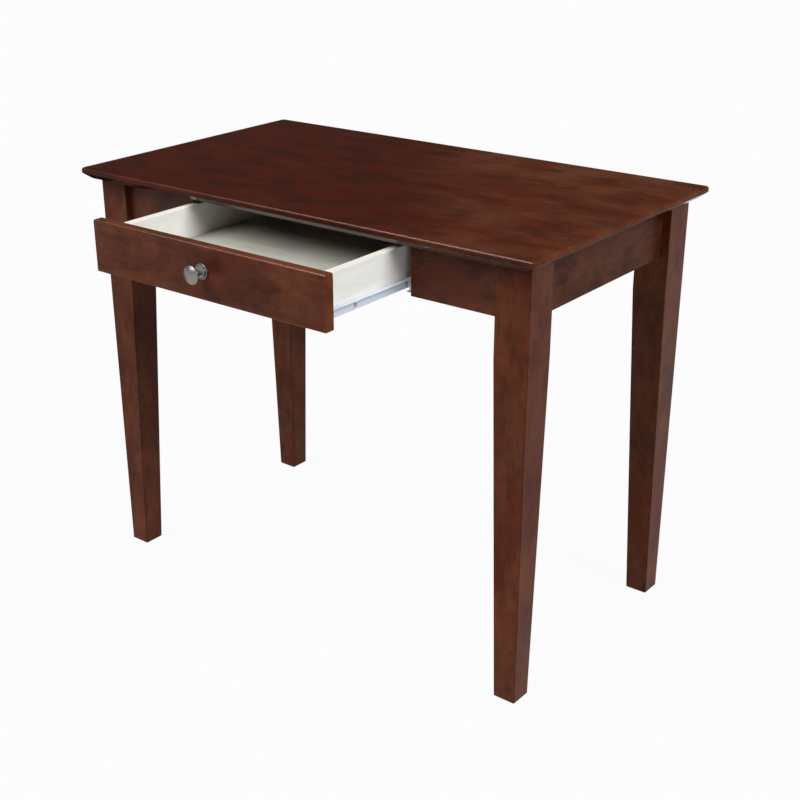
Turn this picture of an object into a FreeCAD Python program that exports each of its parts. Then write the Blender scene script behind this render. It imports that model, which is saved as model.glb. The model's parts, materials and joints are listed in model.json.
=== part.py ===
import FreeCAD, Part
import math
import os
import Sketcher

# Small writing desk with one drawer on roller slides. Millimetres, +Z up, +Y to the back.
# The origin is on the floor under the middle of the desktop. The drawer is drawn partly open.

doc = FreeCAD.newDocument("writing_desk")
sheet = doc.addObject("Spreadsheet::Sheet", "Sizes")

DRIVING_SIZES = [
    ("desk_height", 762, "floor to the desktop's upper face"),
    ("top_width", 961, "desktop, left to right"),
    ("top_depth", 544, "desktop, front to back"),
    ("top_thickness", 19, "desktop, full thickness"),
    ("top_nose", 9, "upright part of the desktop's edge"),
    ("top_bevel", 12, "how far the edge is cut back underneath"),
    ("top_corner_radius", 7, "desktop's corners in plan"),
    ("top_edge_radius", 3.5, "rounding of the desktop's nose"),
    ("end_overhang", 21.5, "desktop past the legs, at the ends"),
    ("front_overhang", 30, "desktop past the legs, front and back"),
    ("leg_head", 61, "leg's square section at the top"),
    ("leg_foot", 40, "leg's square section at the floor"),
    ("leg_plain_length", 63, "untapered leg below the apron"),
    ("apron_height", 90, "rails and aprons, top to bottom"),
    ("apron_thickness", 20, "rails and aprons"),
    ("front_rail_length", 162.8, "front rails, leg to drawer opening"),
    ("front_recess", 11.5, "front rails behind the legs' faces"),
    ("side_recess", 14.5, "side aprons behind the legs' faces"),
    ("back_recess", 14.5, "back apron behind the legs' faces"),
    ("support_thickness", 20, "drawer supports"),
    ("dowel_diameter", 8, "wooden dowels"),
    ("dowel_depth", 18, "dowel in each of the two pieces"),
    ("dowel_inset", 22, "dowels from the apron's edges"),
    ("fit_clearance", 0.05, "radial room round dowels, pins, screws and bolts"),
    ("block_thickness", 22, "corner blocks, along the diagonal"),
    ("block_height", 45, "corner blocks, top to bottom"),
    ("block_gap", 8, "corner block to the leg's inner corner"),
    ("block_screw_offset", 24, "corner block's screw from its bolt, along X and along Y"),
    ("bolt_diameter", 8, "leg bolts"),
    ("bolt_grip", 32, "leg bolt in the leg, from its inner corner"),
    ("bolt_end", 4, "leg bolt past its nut"),
    ("washer_diameter", 24, "leg bolts' washers"),
    ("washer_thickness", 2, "leg bolts' washers"),
    ("nut_width", 13, "leg bolts' nuts, across flats"),
    ("nut_height", 6.5, "leg bolts' nuts"),
    ("screw_diameter", 4, "wood screws"),
    ("screw_head_diameter", 8, "wood screws' heads"),
    ("screw_head_height", 1.6, "wood screws' heads"),
    ("screw_grip", 14, "wood screws in the piece they hold"),
    ("counterbore_diameter", 11, "screw wells in the drawer supports"),
    ("counterbore_web", 30, "wood left above a screw well"),
    ("support_screw_inset", 70, "support's desktop screws from its ends"),
    ("drawer_open", 195, "how far the drawer is drawn out"),
    ("drawer_gap", 1, "closed drawer front to the front rails"),
    ("front_overlap", 11.5, "drawer front past the opening, each side"),
    ("front_height", 87.2, "drawer front"),
    ("front_thickness", 17.5, "drawer front"),
    ("front_top_gap", 0.5, "drawer front below the desktop"),
    ("front_corner_radius", 3, "drawer front's outline corners"),
    ("front_edge_radius", 2.5, "drawer front's eased face edges"),
    ("box_back_room", 39, "closed drawer box to the back apron"),
    ("box_height", 69, "drawer box sides"),
    ("box_wall", 14, "drawer box sides, front and back"),
    ("box_top_drop", 10.5, "drawer box's top edge below the drawer front's"),
    ("bottom_thickness", 5, "drawer bottom"),
    ("bottom_rise", 10, "drawer bottom above the sides' lower edges"),
    ("groove_depth", 6, "groove for the drawer bottom"),
    ("groove_clearance", 0.1, "room round the drawer bottom in its groove"),
    ("front_screw_inset", 58.5, "drawer front's screws from the box sides"),
    ("front_screw_rise", 28, "drawer front's screws, lower to upper"),
    ("front_screw_grip", 10.5, "drawer front's screws in the drawer front"),
    ("slide_clearance", 12.7, "drawer box to the supports, each side"),
    ("slide_back_room", 36, "cabinet member to the back apron"),
    ("slide_setback", 2, "cabinet member behind the rails' faces"),
    ("slide_gauge", 1.2, "slide steel thickness"),
    ("drawer_web", 16, "drawer member above the box side's lower edge"),
    ("drawer_ledge", 12, "drawer member under the box side"),
    ("drawer_track", 10.9, "drawer member's outward track"),
    ("cabinet_track", 9.5, "cabinet member's inward track"),
    ("cabinet_lip", 4.6, "cabinet member's inward lip"),
    ("roller_diameter", 18, "slide rollers"),
    ("roller_width", 6, "slide rollers"),
    ("roller_inset", 12, "roller centres from the members' ends"),
    ("roller_wall_gap", 2.2, "cabinet member's web to the rollers"),
    ("roller_gap", 0.3, "rollers to the tracks that they run on"),
    ("lip_gap", 2, "rollers to the lip above them"),
    ("pin_diameter", 5, "roller pins"),
    ("pin_head_diameter", 9, "roller pins' heads"),
    ("pin_head_height", 0.7, "roller pins' heads"),
    ("slide_screw_end", 75.5, "slide screws from the members' ends"),
    ("slide_screw_rise", 1, "slide screws above the rollers' centres"),
    ("slide_screw_grip", 9, "slide screws in the wood"),
    ("slide_screw_head", 7, "slide screws' heads"),
    ("slide_screw_head_height", 1, "slide screws' heads"),
    ("slide_screw_diameter", 3.5, "slide screws"),
    ("knob_rise", 3, "knob's middle above the drawer front's"),
    ("knob_projection", 29, "knob, from the drawer front"),
    ("knob_cap_diameter", 30, "knob's cap"),
    ("knob_cap_rim", 2, "upright rim of the cap"),
    ("knob_cap_dome", 5, "domed face past the rim"),
    ("knob_cap_under", 5, "sloping underside of the cap"),
    ("knob_neck_diameter", 11, "knob's waist"),
    ("knob_flare_diameter", 18, "neck where it meets the cap"),
    ("knob_base_diameter", 25, "knob's foot"),
    ("knob_base_height", 3, "knob's foot"),
    ("knob_ring_diameter", 19, "raised ring on the foot"),
    ("knob_ring_height", 2.5, "raised ring on the foot"),
    ("knob_screw_grip", 10, "knob screw in the knob"),
    ("knob_screw_head", 9, "knob screw's head"),
]
for row, (alias, value, note) in enumerate(DRIVING_SIZES, start=1):
    sheet.set(f"A{row}", note)
    sheet.set(f"B{row}", str(value))
    sheet.setAlias(f"B{row}", alias)
doc.recompute()

# Places worked out from the driving sizes, as expressions that the pieces share.
LEG_X = "(Sizes.top_width / 2 - Sizes.end_overhang)"
LEG_Y = "(Sizes.top_depth / 2 - Sizes.front_overhang)"
HEAD_X = f"({LEG_X} - Sizes.leg_head)"
HEAD_Y = f"({LEG_Y} - Sizes.leg_head)"
UNDERSIDE = "(Sizes.desk_height - Sizes.top_thickness)"
APRON_BOTTOM = f"({UNDERSIDE} - Sizes.apron_height)"
TAPER_TOP = f"({APRON_BOTTOM} - Sizes.leg_plain_length)"
RAIL_FACE = f"(Sizes.front_recess - {LEG_Y})"
RAIL_INNER = f"({RAIL_FACE} + Sizes.apron_thickness)"
SIDE_FACE = f"({LEG_X} - Sizes.side_recess)"
SIDE_INNER = f"({SIDE_FACE} - Sizes.apron_thickness)"
BACK_FACE = f"({LEG_Y} - Sizes.back_recess)"
BACK_INNER = f"({BACK_FACE} - Sizes.apron_thickness)"
WALL_X = f"({HEAD_X} - Sizes.front_rail_length)"
BOX_X = f"({WALL_X} - Sizes.slide_clearance)"
SUPPORT_X = f"({WALL_X} + Sizes.support_thickness)"
BLOCK_BOTTOM = f"({UNDERSIDE} - Sizes.block_height)"
BOLT_Z = f"({UNDERSIDE} - Sizes.block_height / 2)"

FRONT_BACK = f"({RAIL_FACE} - Sizes.drawer_gap - Sizes.drawer_open)"
FRONT_FACE = f"({FRONT_BACK} - Sizes.front_thickness)"
FRONT_TOP = f"({UNDERSIDE} - Sizes.front_top_gap)"
FRONT_MIDDLE = f"({FRONT_TOP} - Sizes.front_height / 2)"
FRONT_X = f"({WALL_X} + Sizes.front_overlap)"
KNOB_Z = f"({FRONT_MIDDLE} + Sizes.knob_rise)"
BOX_FRONT_INNER = f"({FRONT_BACK} + Sizes.box_wall)"
BOX_REAR = f"({BACK_INNER} - Sizes.box_back_room - Sizes.drawer_open)"
BOX_TOP = f"({FRONT_TOP} - Sizes.box_top_drop)"
BOX_BOTTOM = f"({BOX_TOP} - Sizes.box_height)"
BOX_INNER_X = f"({BOX_X} - Sizes.box_wall)"
PANEL_X = f"({BOX_INNER_X} + Sizes.groove_depth - Sizes.groove_clearance)"
PANEL_FRONT = f"({BOX_FRONT_INNER} - Sizes.groove_depth + Sizes.groove_clearance)"
PANEL_REAR = f"({BOX_REAR} - Sizes.box_wall + Sizes.groove_depth - Sizes.groove_clearance)"
PANEL_Z = f"({BOX_BOTTOM} + Sizes.bottom_rise)"

MEMBER_OUT = f"({BOX_X} + Sizes.slide_gauge)"
TRACK_TOP = f"({BOX_BOTTOM} + Sizes.drawer_web)"
TRACK_UNDER = f"({TRACK_TOP} - Sizes.slide_gauge)"
ROLLER_Z = f"({TRACK_UNDER} - Sizes.roller_gap - Sizes.roller_diameter / 2)"
CABINET_FLOOR = f"({ROLLER_Z} - Sizes.roller_diameter / 2 - Sizes.roller_gap)"
LIP_UNDER = f"({ROLLER_Z} + Sizes.roller_diameter / 2 + Sizes.lip_gap)"
CABINET_IN = f"({WALL_X} - Sizes.slide_gauge)"
ROLLER_OUT = f"({CABINET_IN} - Sizes.roller_wall_gap)"
ROLLER_IN = f"({ROLLER_OUT} - Sizes.roller_width)"
CABINET_START = f"({RAIL_FACE} + Sizes.slide_setback)"
CABINET_END = f"({BACK_INNER} - Sizes.slide_back_room)"
SLIDE_SCREW_Z = f"({ROLLER_Z} + Sizes.slide_screw_rise)"

DOWEL_HEIGHTS = [f"({APRON_BOTTOM} + Sizes.dowel_inset)", f"({UNDERSIDE} - Sizes.dowel_inset)"]
APRON_SPAN = (APRON_BOTTOM, UNDERSIDE)
BOX_SPAN = (BOX_BOTTOM, BOX_TOP)
WOOD_SCREW = ("Sizes.screw_diameter", "Sizes.screw_head_diameter", "Sizes.screw_head_height")
SLIDE_SCREW = ("Sizes.slide_screw_diameter", "Sizes.slide_screw_head", "Sizes.slide_screw_head_height")
KNOB_SCREW = ("Sizes.screw_diameter", "Sizes.knob_screw_head", "Sizes.screw_head_height")

SIDES = {"left": -1, "right": 1}
ENDS = {"front": -1, "back": 1}
RIGHT = FreeCAD.Vector(1, 0, 0)
BACK = FreeCAD.Vector(0, 1, 0)
UP = FreeCAD.Vector(0, 0, 1)

# Sub-parts before they are drilled, what is drilled out of each, and small pieces kept in one sub-part.
blanks = {}
bores = {}
sets = {}


def drill(bore, *names):
    """Notes a bore to be cut out of each of the named sub-parts."""
    for name in names:
        bores.setdefault(name, []).append(bore)


def keep(set_name, piece):
    """Adds a small piece to the sub-part that holds all of its kind."""
    sets.setdefault(set_name, []).append(piece)


def mirrored(sign, low, high):
    """The pair of expressions on the side that sign gives."""
    return (low, high) if sign > 0 else (f"-{high}", f"-{low}")


def signed(sign, expression):
    """An expression or its negative."""
    return expression if sign > 0 else f"-{expression}"


def place(piece, x, y, z):
    """Binds a piece's base point to three expressions."""
    for axis, expression in zip("xyz", (x, y, z)):
        piece.setExpression(f"Placement.Base.{axis}", expression)
    return piece


def board(name, x, y, z):
    """A box between (low, high) pairs of expressions."""
    piece = doc.addObject("Part::Box", name)
    for size, (low, high) in zip(("Length", "Width", "Height"), (x, y, z)):
        piece.setExpression(size, f"{high} - {low}")
    return place(piece, x[0], y[0], z[0])


def rod(name, diameter, length, base, direction, clearance=""):
    """A cylinder from base along direction. A clearance expression widens its radius."""
    piece = doc.addObject("Part::Cylinder", name)
    piece.setExpression("Radius", f"{diameter} / 2 {clearance}")
    piece.setExpression("Height", length)
    piece.Placement.Rotation = FreeCAD.Rotation(UP, direction)
    return place(piece, *base)


def hole(name, diameter, length, base, direction):
    """A rod with the usual radial room, to be cut away."""
    return rod(name, diameter, length, base, direction, "+ Sizes.fit_clearance")


def joined(name, pieces):
    """One solid from several that touch or overlap."""
    piece = doc.addObject("Part::MultiFuse", name)
    piece.Shapes = pieces
    piece.Refine = True
    return piece


def cut(name, base, tools):
    """The base less every tool."""
    piece = doc.addObject("Part::Cut", name)
    piece.Base = base
    piece.Tool = tools[0] if len(tools) == 1 else joined(name + "_tools", tools)
    return piece


def drive(set_name, kind, base, direction, length, *names):
    """A pan-head screw of a kind, base under its head, driven through the named sub-parts."""
    diameter, head_diameter, head_height = kind
    name = f"{set_name}_{len(sets.get(set_name, []))}"
    shank = rod(name + "_shank", diameter, length, base, direction)
    head = rod(name + "_head", head_diameter, head_height, base, -direction)
    keep(set_name, joined(name, [shank, head]))
    drill(hole(name + "_bore", diameter, length, base, direction), *names)


def peg(x, y, direction, *names):
    """Two dowels, one above the other, across a joint face at (x, y) between the named sub-parts."""
    length = "2 * Sizes.dowel_depth"
    start = [f"{spot} - {int(step)} * Sizes.dowel_depth" for spot, step in zip((x, y), direction)]
    for z in DOWEL_HEIGHTS:
        name = f"dowel_{len(sets.get('frame_dowels', []))}"
        keep("frame_dowels", rod(name, "Sizes.dowel_diameter", length, (*start, z), direction))
        drill(hole(name + "_bore", "Sizes.dowel_diameter", length, (*start, z), direction), *names)


def sketch_on(body, name, role):
    """An empty sketch on one of the body's own origin planes."""
    sketch = body.newObject("Sketcher::SketchObject", name)
    plane = next(f for f in body.Origin.OriginFeatures if f.Role == role)
    sketch.AttachmentSupport = [(plane, "")]
    sketch.MapMode = "FlatFace"
    return sketch


def dimension(sketch, name, expression, *constraint):
    """Adds a named dimension and binds it."""
    index = sketch.addConstraint(Sketcher.Constraint(*constraint))
    sketch.renameConstraint(index, name)
    sketch.setExpression(f"Constraints.{name}", expression)


def rounded_rectangle(sketch, length, width, radius):
    """A rectangle with round corners about the sketch's origin: four lines and four quarter arcs."""
    a, b, r = 60.0, 40.0, 5.0
    corners = [(a - r, r - b), (a - r, b - r), (r - a, b - r), (r - a, r - b)]
    starts = [(r - a, -b), (a, r - b), (a - r, b), (-a, b - r)]
    stops = [(a - r, -b), (a, b - r), (r - a, b), (-a, r - b)]
    lines = []
    arcs = []
    for start, stop in zip(starts, stops):
        segment = Part.LineSegment(FreeCAD.Vector(*start, 0), FreeCAD.Vector(*stop, 0))
        lines.append(sketch.addGeometry(segment, False))
    for i, corner in enumerate(corners):
        circle = Part.Circle(FreeCAD.Vector(*corner, 0), UP, r)
        quarter = Part.ArcOfCircle(circle, (i - 1) * math.pi / 2, i * math.pi / 2)
        arcs.append(sketch.addGeometry(quarter, False))
    for i, arc in enumerate(arcs):
        sketch.addConstraint(Sketcher.Constraint("Tangent", lines[i], 2, arc, 1))
        sketch.addConstraint(Sketcher.Constraint("Tangent", arc, 2, lines[(i + 1) % 4], 1))
    for i in (0, 2):
        sketch.addConstraint(Sketcher.Constraint("Horizontal", lines[i]))
        sketch.addConstraint(Sketcher.Constraint("Vertical", lines[i + 1]))
    for arc in arcs[1:]:
        sketch.addConstraint(Sketcher.Constraint("Equal", arcs[0], arc))
    sketch.addConstraint(Sketcher.Constraint("Symmetric", arcs[0], 3, arcs[2], 3, -1, 1))
    dimension(sketch, "length", length, "DistanceX", lines[3], 1, lines[1], 1, 2 * a)
    dimension(sketch, "width", width, "DistanceY", lines[0], 1, lines[2], 1, 2 * b)
    dimension(sketch, "radius", radius, "Radius", arcs[0], r)


def present(expression):
    """The number that an expression has now."""
    return float(sheet.evalExpression(expression))


def level_edges(shape, axis, levels):
    """Names of the shape's edges that lie at one of the levels along an axis, x, y or z."""
    names = []
    for i, edge in enumerate(shape.Edges, start=1):
        spots = [getattr(v.Point, axis) for v in edge.Vertexes]
        if any(all(abs(spot - level) < 1e-6 for spot in spots) for level in levels):
            names.append(f"Edge{i}")
    return names


def desktop():
    """The board: an upright nose, and below it a bevel that runs back to the underside."""
    body = doc.addObject("PartDesign::Body", "desktop_body")
    body.setExpression("Placement.Base.z", UNDERSIDE)
    nose_z = "(Sizes.top_thickness - Sizes.top_nose)"
    outline = sketch_on(body, "top_outline", "XY_Plane")
    rounded_rectangle(outline, "Sizes.top_width", "Sizes.top_depth", "Sizes.top_corner_radius")
    outline.setExpression("AttachmentOffset.Base.z", nose_z)
    nose = body.newObject("PartDesign::Pad", "top_nose_pad")
    nose.Profile = outline
    nose.setExpression("Length", "Sizes.top_nose")
    under = sketch_on(body, "top_underside", "XY_Plane")
    under_size = [f"Sizes.{size} - 2 * Sizes.top_bevel" for size in ("top_width", "top_depth")]
    rounded_rectangle(under, *under_size, "Sizes.top_corner_radius")
    bevel = body.newObject("PartDesign::AdditiveLoft", "top_bevel_loft")
    bevel.Profile = outline
    bevel.Sections = [under]
    bevel.Ruled = True
    doc.recompute()
    rounding = body.newObject("PartDesign::Fillet", "top_nose_rounding")
    nose_levels = (present(nose_z), present("Sizes.top_thickness"))
    rounding.Base = (bevel, level_edges(bevel.Shape, "z", nose_levels))
    rounding.setExpression("Radius", "Sizes.top_edge_radius")
    blanks["desktop"] = body


def leg(name, sx, sy):
    """A square head, and below it a taper that leaves the two outer faces upright."""
    square = (mirrored(sx, HEAD_X, LEG_X), mirrored(sy, HEAD_Y, LEG_Y))
    head = board(name + "_head", *square, (TAPER_TOP, UNDERSIDE))
    taper = doc.addObject("Part::Wedge", name + "_taper")
    taper.Placement.Rotation = FreeCAD.Rotation(BACK, UP)
    foot_x, foot_y = f"({LEG_X} - Sizes.leg_foot)", f"({LEG_Y} - Sizes.leg_foot)"
    spans = {
        ("Xmin", "Xmax"): mirrored(sx, foot_x, LEG_X),
        ("X2min", "X2max"): mirrored(sx, HEAD_X, LEG_X),
        ("Zmin", "Zmax"): mirrored(-sy, foot_y, LEG_Y),
        ("Z2min", "Z2max"): mirrored(-sy, HEAD_Y, LEG_Y),
        ("Ymin", "Ymax"): ("0", TAPER_TOP),
    }
    for (low_name, high_name), (low, high) in spans.items():
        taper.setExpression(low_name, low)
        taper.setExpression(high_name, high)
    blanks[name] = joined(name + "_blank", [head, taper])


def inward(sx, sy):
    """The level diagonal from a leg's inner corner towards the middle of the desk."""
    return FreeCAD.Vector(-sx, -sy, 0).normalize()


def diagonal(sx, sy, distance):
    """The point in plan this far from a leg's inner corner, along the inward diagonal."""
    step = f"({distance}) / sqrt(2)"
    return signed(sx, f"({HEAD_X} - {step})"), signed(sy, f"({HEAD_Y} - {step})")


def corner_block(name, sx, sy):
    """A board set square to the diagonal, its ends cut to lie on the two aprons."""
    reach = f"(2 * ({HEAD_X} - {WALL_X}))"
    plank = doc.addObject("Part::Box", name + "_plank")
    plank.setExpression("Length", "Sizes.block_thickness")
    plank.setExpression("Width", reach)
    plank.setExpression("Height", "Sizes.block_height")
    turn = FreeCAD.Rotation(RIGHT, inward(sx, sy))
    plank.Placement.Rotation = turn
    along = turn.multVec(BACK)
    half = f"{reach} / 2 / sqrt(2)"
    spot = diagonal(sx, sy, "Sizes.block_gap")
    x, y = [f"{start} + {signed(-step, half)}" for start, step in zip(spot, along)]
    place(plank, x, y, BLOCK_BOTTOM)
    span_y = (RAIL_INNER, "0") if sy < 0 else ("0", BACK_INNER)
    room = board(name + "_room", mirrored(sx, "0", SIDE_INNER), span_y, (BLOCK_BOTTOM, UNDERSIDE))
    block = doc.addObject("Part::Common", name + "_blank")
    block.Base = plank
    block.Tool = room
    blanks[name] = block


def leg_bolt(end, side, leg_name, block_name):
    """The bolt from a leg through its corner block, with a washer and a nut."""
    sx, sy = SIDES[side], ENDS[end]
    way = inward(sx, sy)
    face = "Sizes.block_gap + Sizes.block_thickness"
    nut_face = face + " + Sizes.washer_thickness"
    length = f"Sizes.bolt_grip + {nut_face} + Sizes.nut_height + Sizes.bolt_end"
    start = (*diagonal(sx, sy, "-Sizes.bolt_grip"), BOLT_Z)
    keep("leg_bolts", rod(f"bolt_{end}_{side}", "Sizes.bolt_diameter", length, start, way))
    bore = hole(f"bolt_bore_{end}_{side}", "Sizes.bolt_diameter", length, start, way)
    drill(bore, leg_name, block_name)
    disc = rod(f"washer_disc_{end}_{side}", "Sizes.washer_diameter", "Sizes.washer_thickness",
               (*diagonal(sx, sy, face), BOLT_Z), way)
    keep("leg_bolt_washers", cut(f"washer_{end}_{side}", disc, [bore]))
    hexagon = doc.addObject("Part::Prism", f"nut_hexagon_{end}_{side}")
    hexagon.Polygon = 6
    hexagon.setExpression("Circumradius", "Sizes.nut_width / sqrt(3)")
    hexagon.setExpression("Height", "Sizes.nut_height")
    hexagon.Placement.Rotation = FreeCAD.Rotation(UP, way)
    place(hexagon, *diagonal(sx, sy, nut_face), BOLT_Z)
    keep("leg_bolt_nuts", cut(f"nut_{end}_{side}", hexagon, [bore]))


def leg_corner(end, side):
    """A leg, the pegs of its side apron, its corner block, and the bolt and screw through the block."""
    sx, sy = SIDES[side], ENDS[end]
    leg_name, block_name = f"leg_{end}_{side}", f"corner_block_{end}_{side}"
    leg(leg_name, sx, sy)
    side_mid = f"({SIDE_FACE} - Sizes.apron_thickness / 2)"
    peg(signed(sx, side_mid), signed(sy, HEAD_Y), BACK, f"side_apron_{side}", leg_name)
    corner_block(block_name, sx, sy)
    leg_bolt(end, side, leg_name, block_name)
    x, y = diagonal(sx, sy, "Sizes.block_gap + Sizes.block_thickness / 2")
    spot = (f"{x} + {signed(-sx, 'Sizes.block_screw_offset')}",
            f"{y} + {signed(sy, 'Sizes.block_screw_offset')}", BLOCK_BOTTOM)
    reach = "Sizes.block_height + Sizes.screw_grip"
    drive("desktop_screws", WOOD_SCREW, spot, UP, reach, block_name, "desktop")


def desk_side(side):
    """Front rail, side apron and drawer support of one side, with their pegs and the support's screws."""
    sx = SIDES[side]
    rail, apron, support = f"front_rail_{side}", f"side_apron_{side}", f"drawer_support_{side}"
    rail_x, apron_x, support_x = (WALL_X, HEAD_X), (SIDE_INNER, SIDE_FACE), (WALL_X, SUPPORT_X)
    blanks[rail] = board(rail + "_blank", mirrored(sx, *rail_x), (RAIL_FACE, RAIL_INNER), APRON_SPAN)
    blanks[apron] = board(apron + "_blank", mirrored(sx, *apron_x), (f"-{HEAD_Y}", HEAD_Y), APRON_SPAN)
    support_y = (RAIL_INNER, BACK_INNER)
    blanks[support] = board(support + "_blank", mirrored(sx, *support_x), support_y, APRON_SPAN)
    leg_face = signed(sx, HEAD_X)
    peg(leg_face, f"({RAIL_FACE} + Sizes.apron_thickness / 2)", RIGHT, rail, f"leg_front_{side}")
    peg(leg_face, f"({BACK_FACE} - Sizes.apron_thickness / 2)", RIGHT, "back_apron", f"leg_back_{side}")
    middle = signed(sx, f"({WALL_X} + Sizes.support_thickness / 2)")
    peg(middle, RAIL_INNER, BACK, rail, support)
    peg(middle, BACK_INNER, BACK, "back_apron", support)
    seat = f"({UNDERSIDE} - Sizes.counterbore_web)"
    reach = "Sizes.counterbore_web + Sizes.screw_grip"
    for i, y in enumerate((f"({RAIL_INNER} + Sizes.support_screw_inset)",
                           f"({BACK_INNER} - Sizes.support_screw_inset)")):
        drive("desktop_screws", WOOD_SCREW, (middle, y, seat), UP, reach, support, "desktop")
        well = rod(f"{support}_well_{i}", "Sizes.counterbore_diameter", f"{seat} - {APRON_BOTTOM}",
                   (middle, y, APRON_BOTTOM), UP)
        drill(well, support)


def slide_member(name, sx, y, *flats):
    """A folded steel strip from flats, each an (x pair, z pair)."""
    strips = [board(f"{name}_flat_{i}", mirrored(sx, *x), y, z) for i, (x, z) in enumerate(flats)]
    blanks[name] = joined(name + "_blank", strips)


def roller(name, sx, y, member, stem, head_x):
    """A nylon roller on a pin fixed in a member: stem is the pin's x pair, head_x where its head begins."""
    across = RIGHT * sx
    start = (signed(sx, stem[0]), y, ROLLER_Z)
    length = f"{stem[1]} - {stem[0]}"
    bore = hole(name + "_bore", "Sizes.pin_diameter", length, start, across)
    wheel = rod(name + "_wheel", "Sizes.roller_diameter", "Sizes.roller_width",
                (signed(sx, ROLLER_IN), y, ROLLER_Z), across)
    blanks[name] = wheel
    drill(bore, name, member)
    pin = rod(name + "_stem", "Sizes.pin_diameter", length, start, across)
    head = rod(name + "_head", "Sizes.pin_head_diameter", "Sizes.pin_head_height",
               (signed(sx, head_x), y, ROLLER_Z), across)
    keep(name.rsplit("_", 1)[0] + "_pins", joined(name + "_pin", [pin, head]))


def slide_screws(set_name, sx, x, way, ends, *names):
    """Three screws along a member: x is under their heads, way is 1 to the outside and -1 to the inside."""
    start, end = ends
    inset = "Sizes.slide_screw_end"
    for y in (f"({start} + {inset})", f"(({start} + {end}) / 2)", f"({end} - {inset})"):
        drive(set_name, SLIDE_SCREW, (signed(sx, x), y, SLIDE_SCREW_Z), RIGHT * (sx * way),
              "Sizes.slide_gauge + Sizes.slide_screw_grip", *names)


def slides(side):
    """The roller slide of one side: a member and a roller on the support, and a pair on the drawer box."""
    sx = SIDES[side]
    cabinet, drawer = f"cabinet_slide_{side}", f"drawer_slide_{side}"
    cabinet_y, drawer_y = (CABINET_START, CABINET_END), (FRONT_BACK, BOX_REAR)
    floor_under = f"({CABINET_FLOOR} - Sizes.slide_gauge)"
    lip_top = f"({LIP_UNDER} + Sizes.slide_gauge)"
    ledge_under = f"({BOX_BOTTOM} - Sizes.slide_gauge)"
    slide_member(
        cabinet, sx, cabinet_y,
        ((CABINET_IN, WALL_X), (floor_under, lip_top)),
        ((f"({WALL_X} - Sizes.cabinet_track)", WALL_X), (floor_under, CABINET_FLOOR)),
        ((f"({WALL_X} - Sizes.cabinet_lip)", WALL_X), (LIP_UNDER, lip_top)),
    )
    slide_member(
        drawer, sx, drawer_y,
        ((BOX_X, MEMBER_OUT), (ledge_under, TRACK_TOP)),
        ((f"({BOX_X} - Sizes.drawer_ledge)", MEMBER_OUT), (ledge_under, BOX_BOTTOM)),
        ((BOX_X, f"({BOX_X} + Sizes.drawer_track)"), (TRACK_UNDER, TRACK_TOP)),
    )
    inner_end = f"({ROLLER_IN} - Sizes.fit_clearance)"
    outer_end = f"({ROLLER_OUT} + Sizes.fit_clearance)"
    front_y, rear_y = f"({CABINET_START} + Sizes.roller_inset)", f"({BOX_REAR} - Sizes.roller_inset)"
    head_start = f"({inner_end} - Sizes.pin_head_height)"
    roller(f"cabinet_roller_{side}", sx, front_y, cabinet, (inner_end, WALL_X), head_start)
    roller(f"drawer_roller_{side}", sx, rear_y, drawer, (BOX_X, outer_end), outer_end)
    slide_screws("cabinet_slide_screws", sx, CABINET_IN, 1, cabinet_y, cabinet, f"drawer_support_{side}")
    slide_screws("drawer_slide_screws", sx, MEMBER_OUT, -1, drawer_y, drawer, f"drawer_side_{side}")


def drawer_front():
    """The overlay panel, its face edges eased."""
    body = doc.addObject("PartDesign::Body", "drawer_front_body")
    place(body, "0", FRONT_BACK, FRONT_MIDDLE)
    outline = sketch_on(body, "front_outline", "XZ_Plane")
    rounded_rectangle(outline, f"2 * {FRONT_X}", "Sizes.front_height", "Sizes.front_corner_radius")
    pad = body.newObject("PartDesign::Pad", "front_pad")
    pad.Profile = outline
    pad.setExpression("Length", "Sizes.front_thickness")
    doc.recompute()
    easing = body.newObject("PartDesign::Fillet", "front_easing")
    easing.Base = (pad, level_edges(pad.Shape, "y", [pad.Shape.BoundBox.YMin]))
    easing.setExpression("Radius", "Sizes.front_edge_radius")
    blanks["drawer_front"] = body


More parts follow.
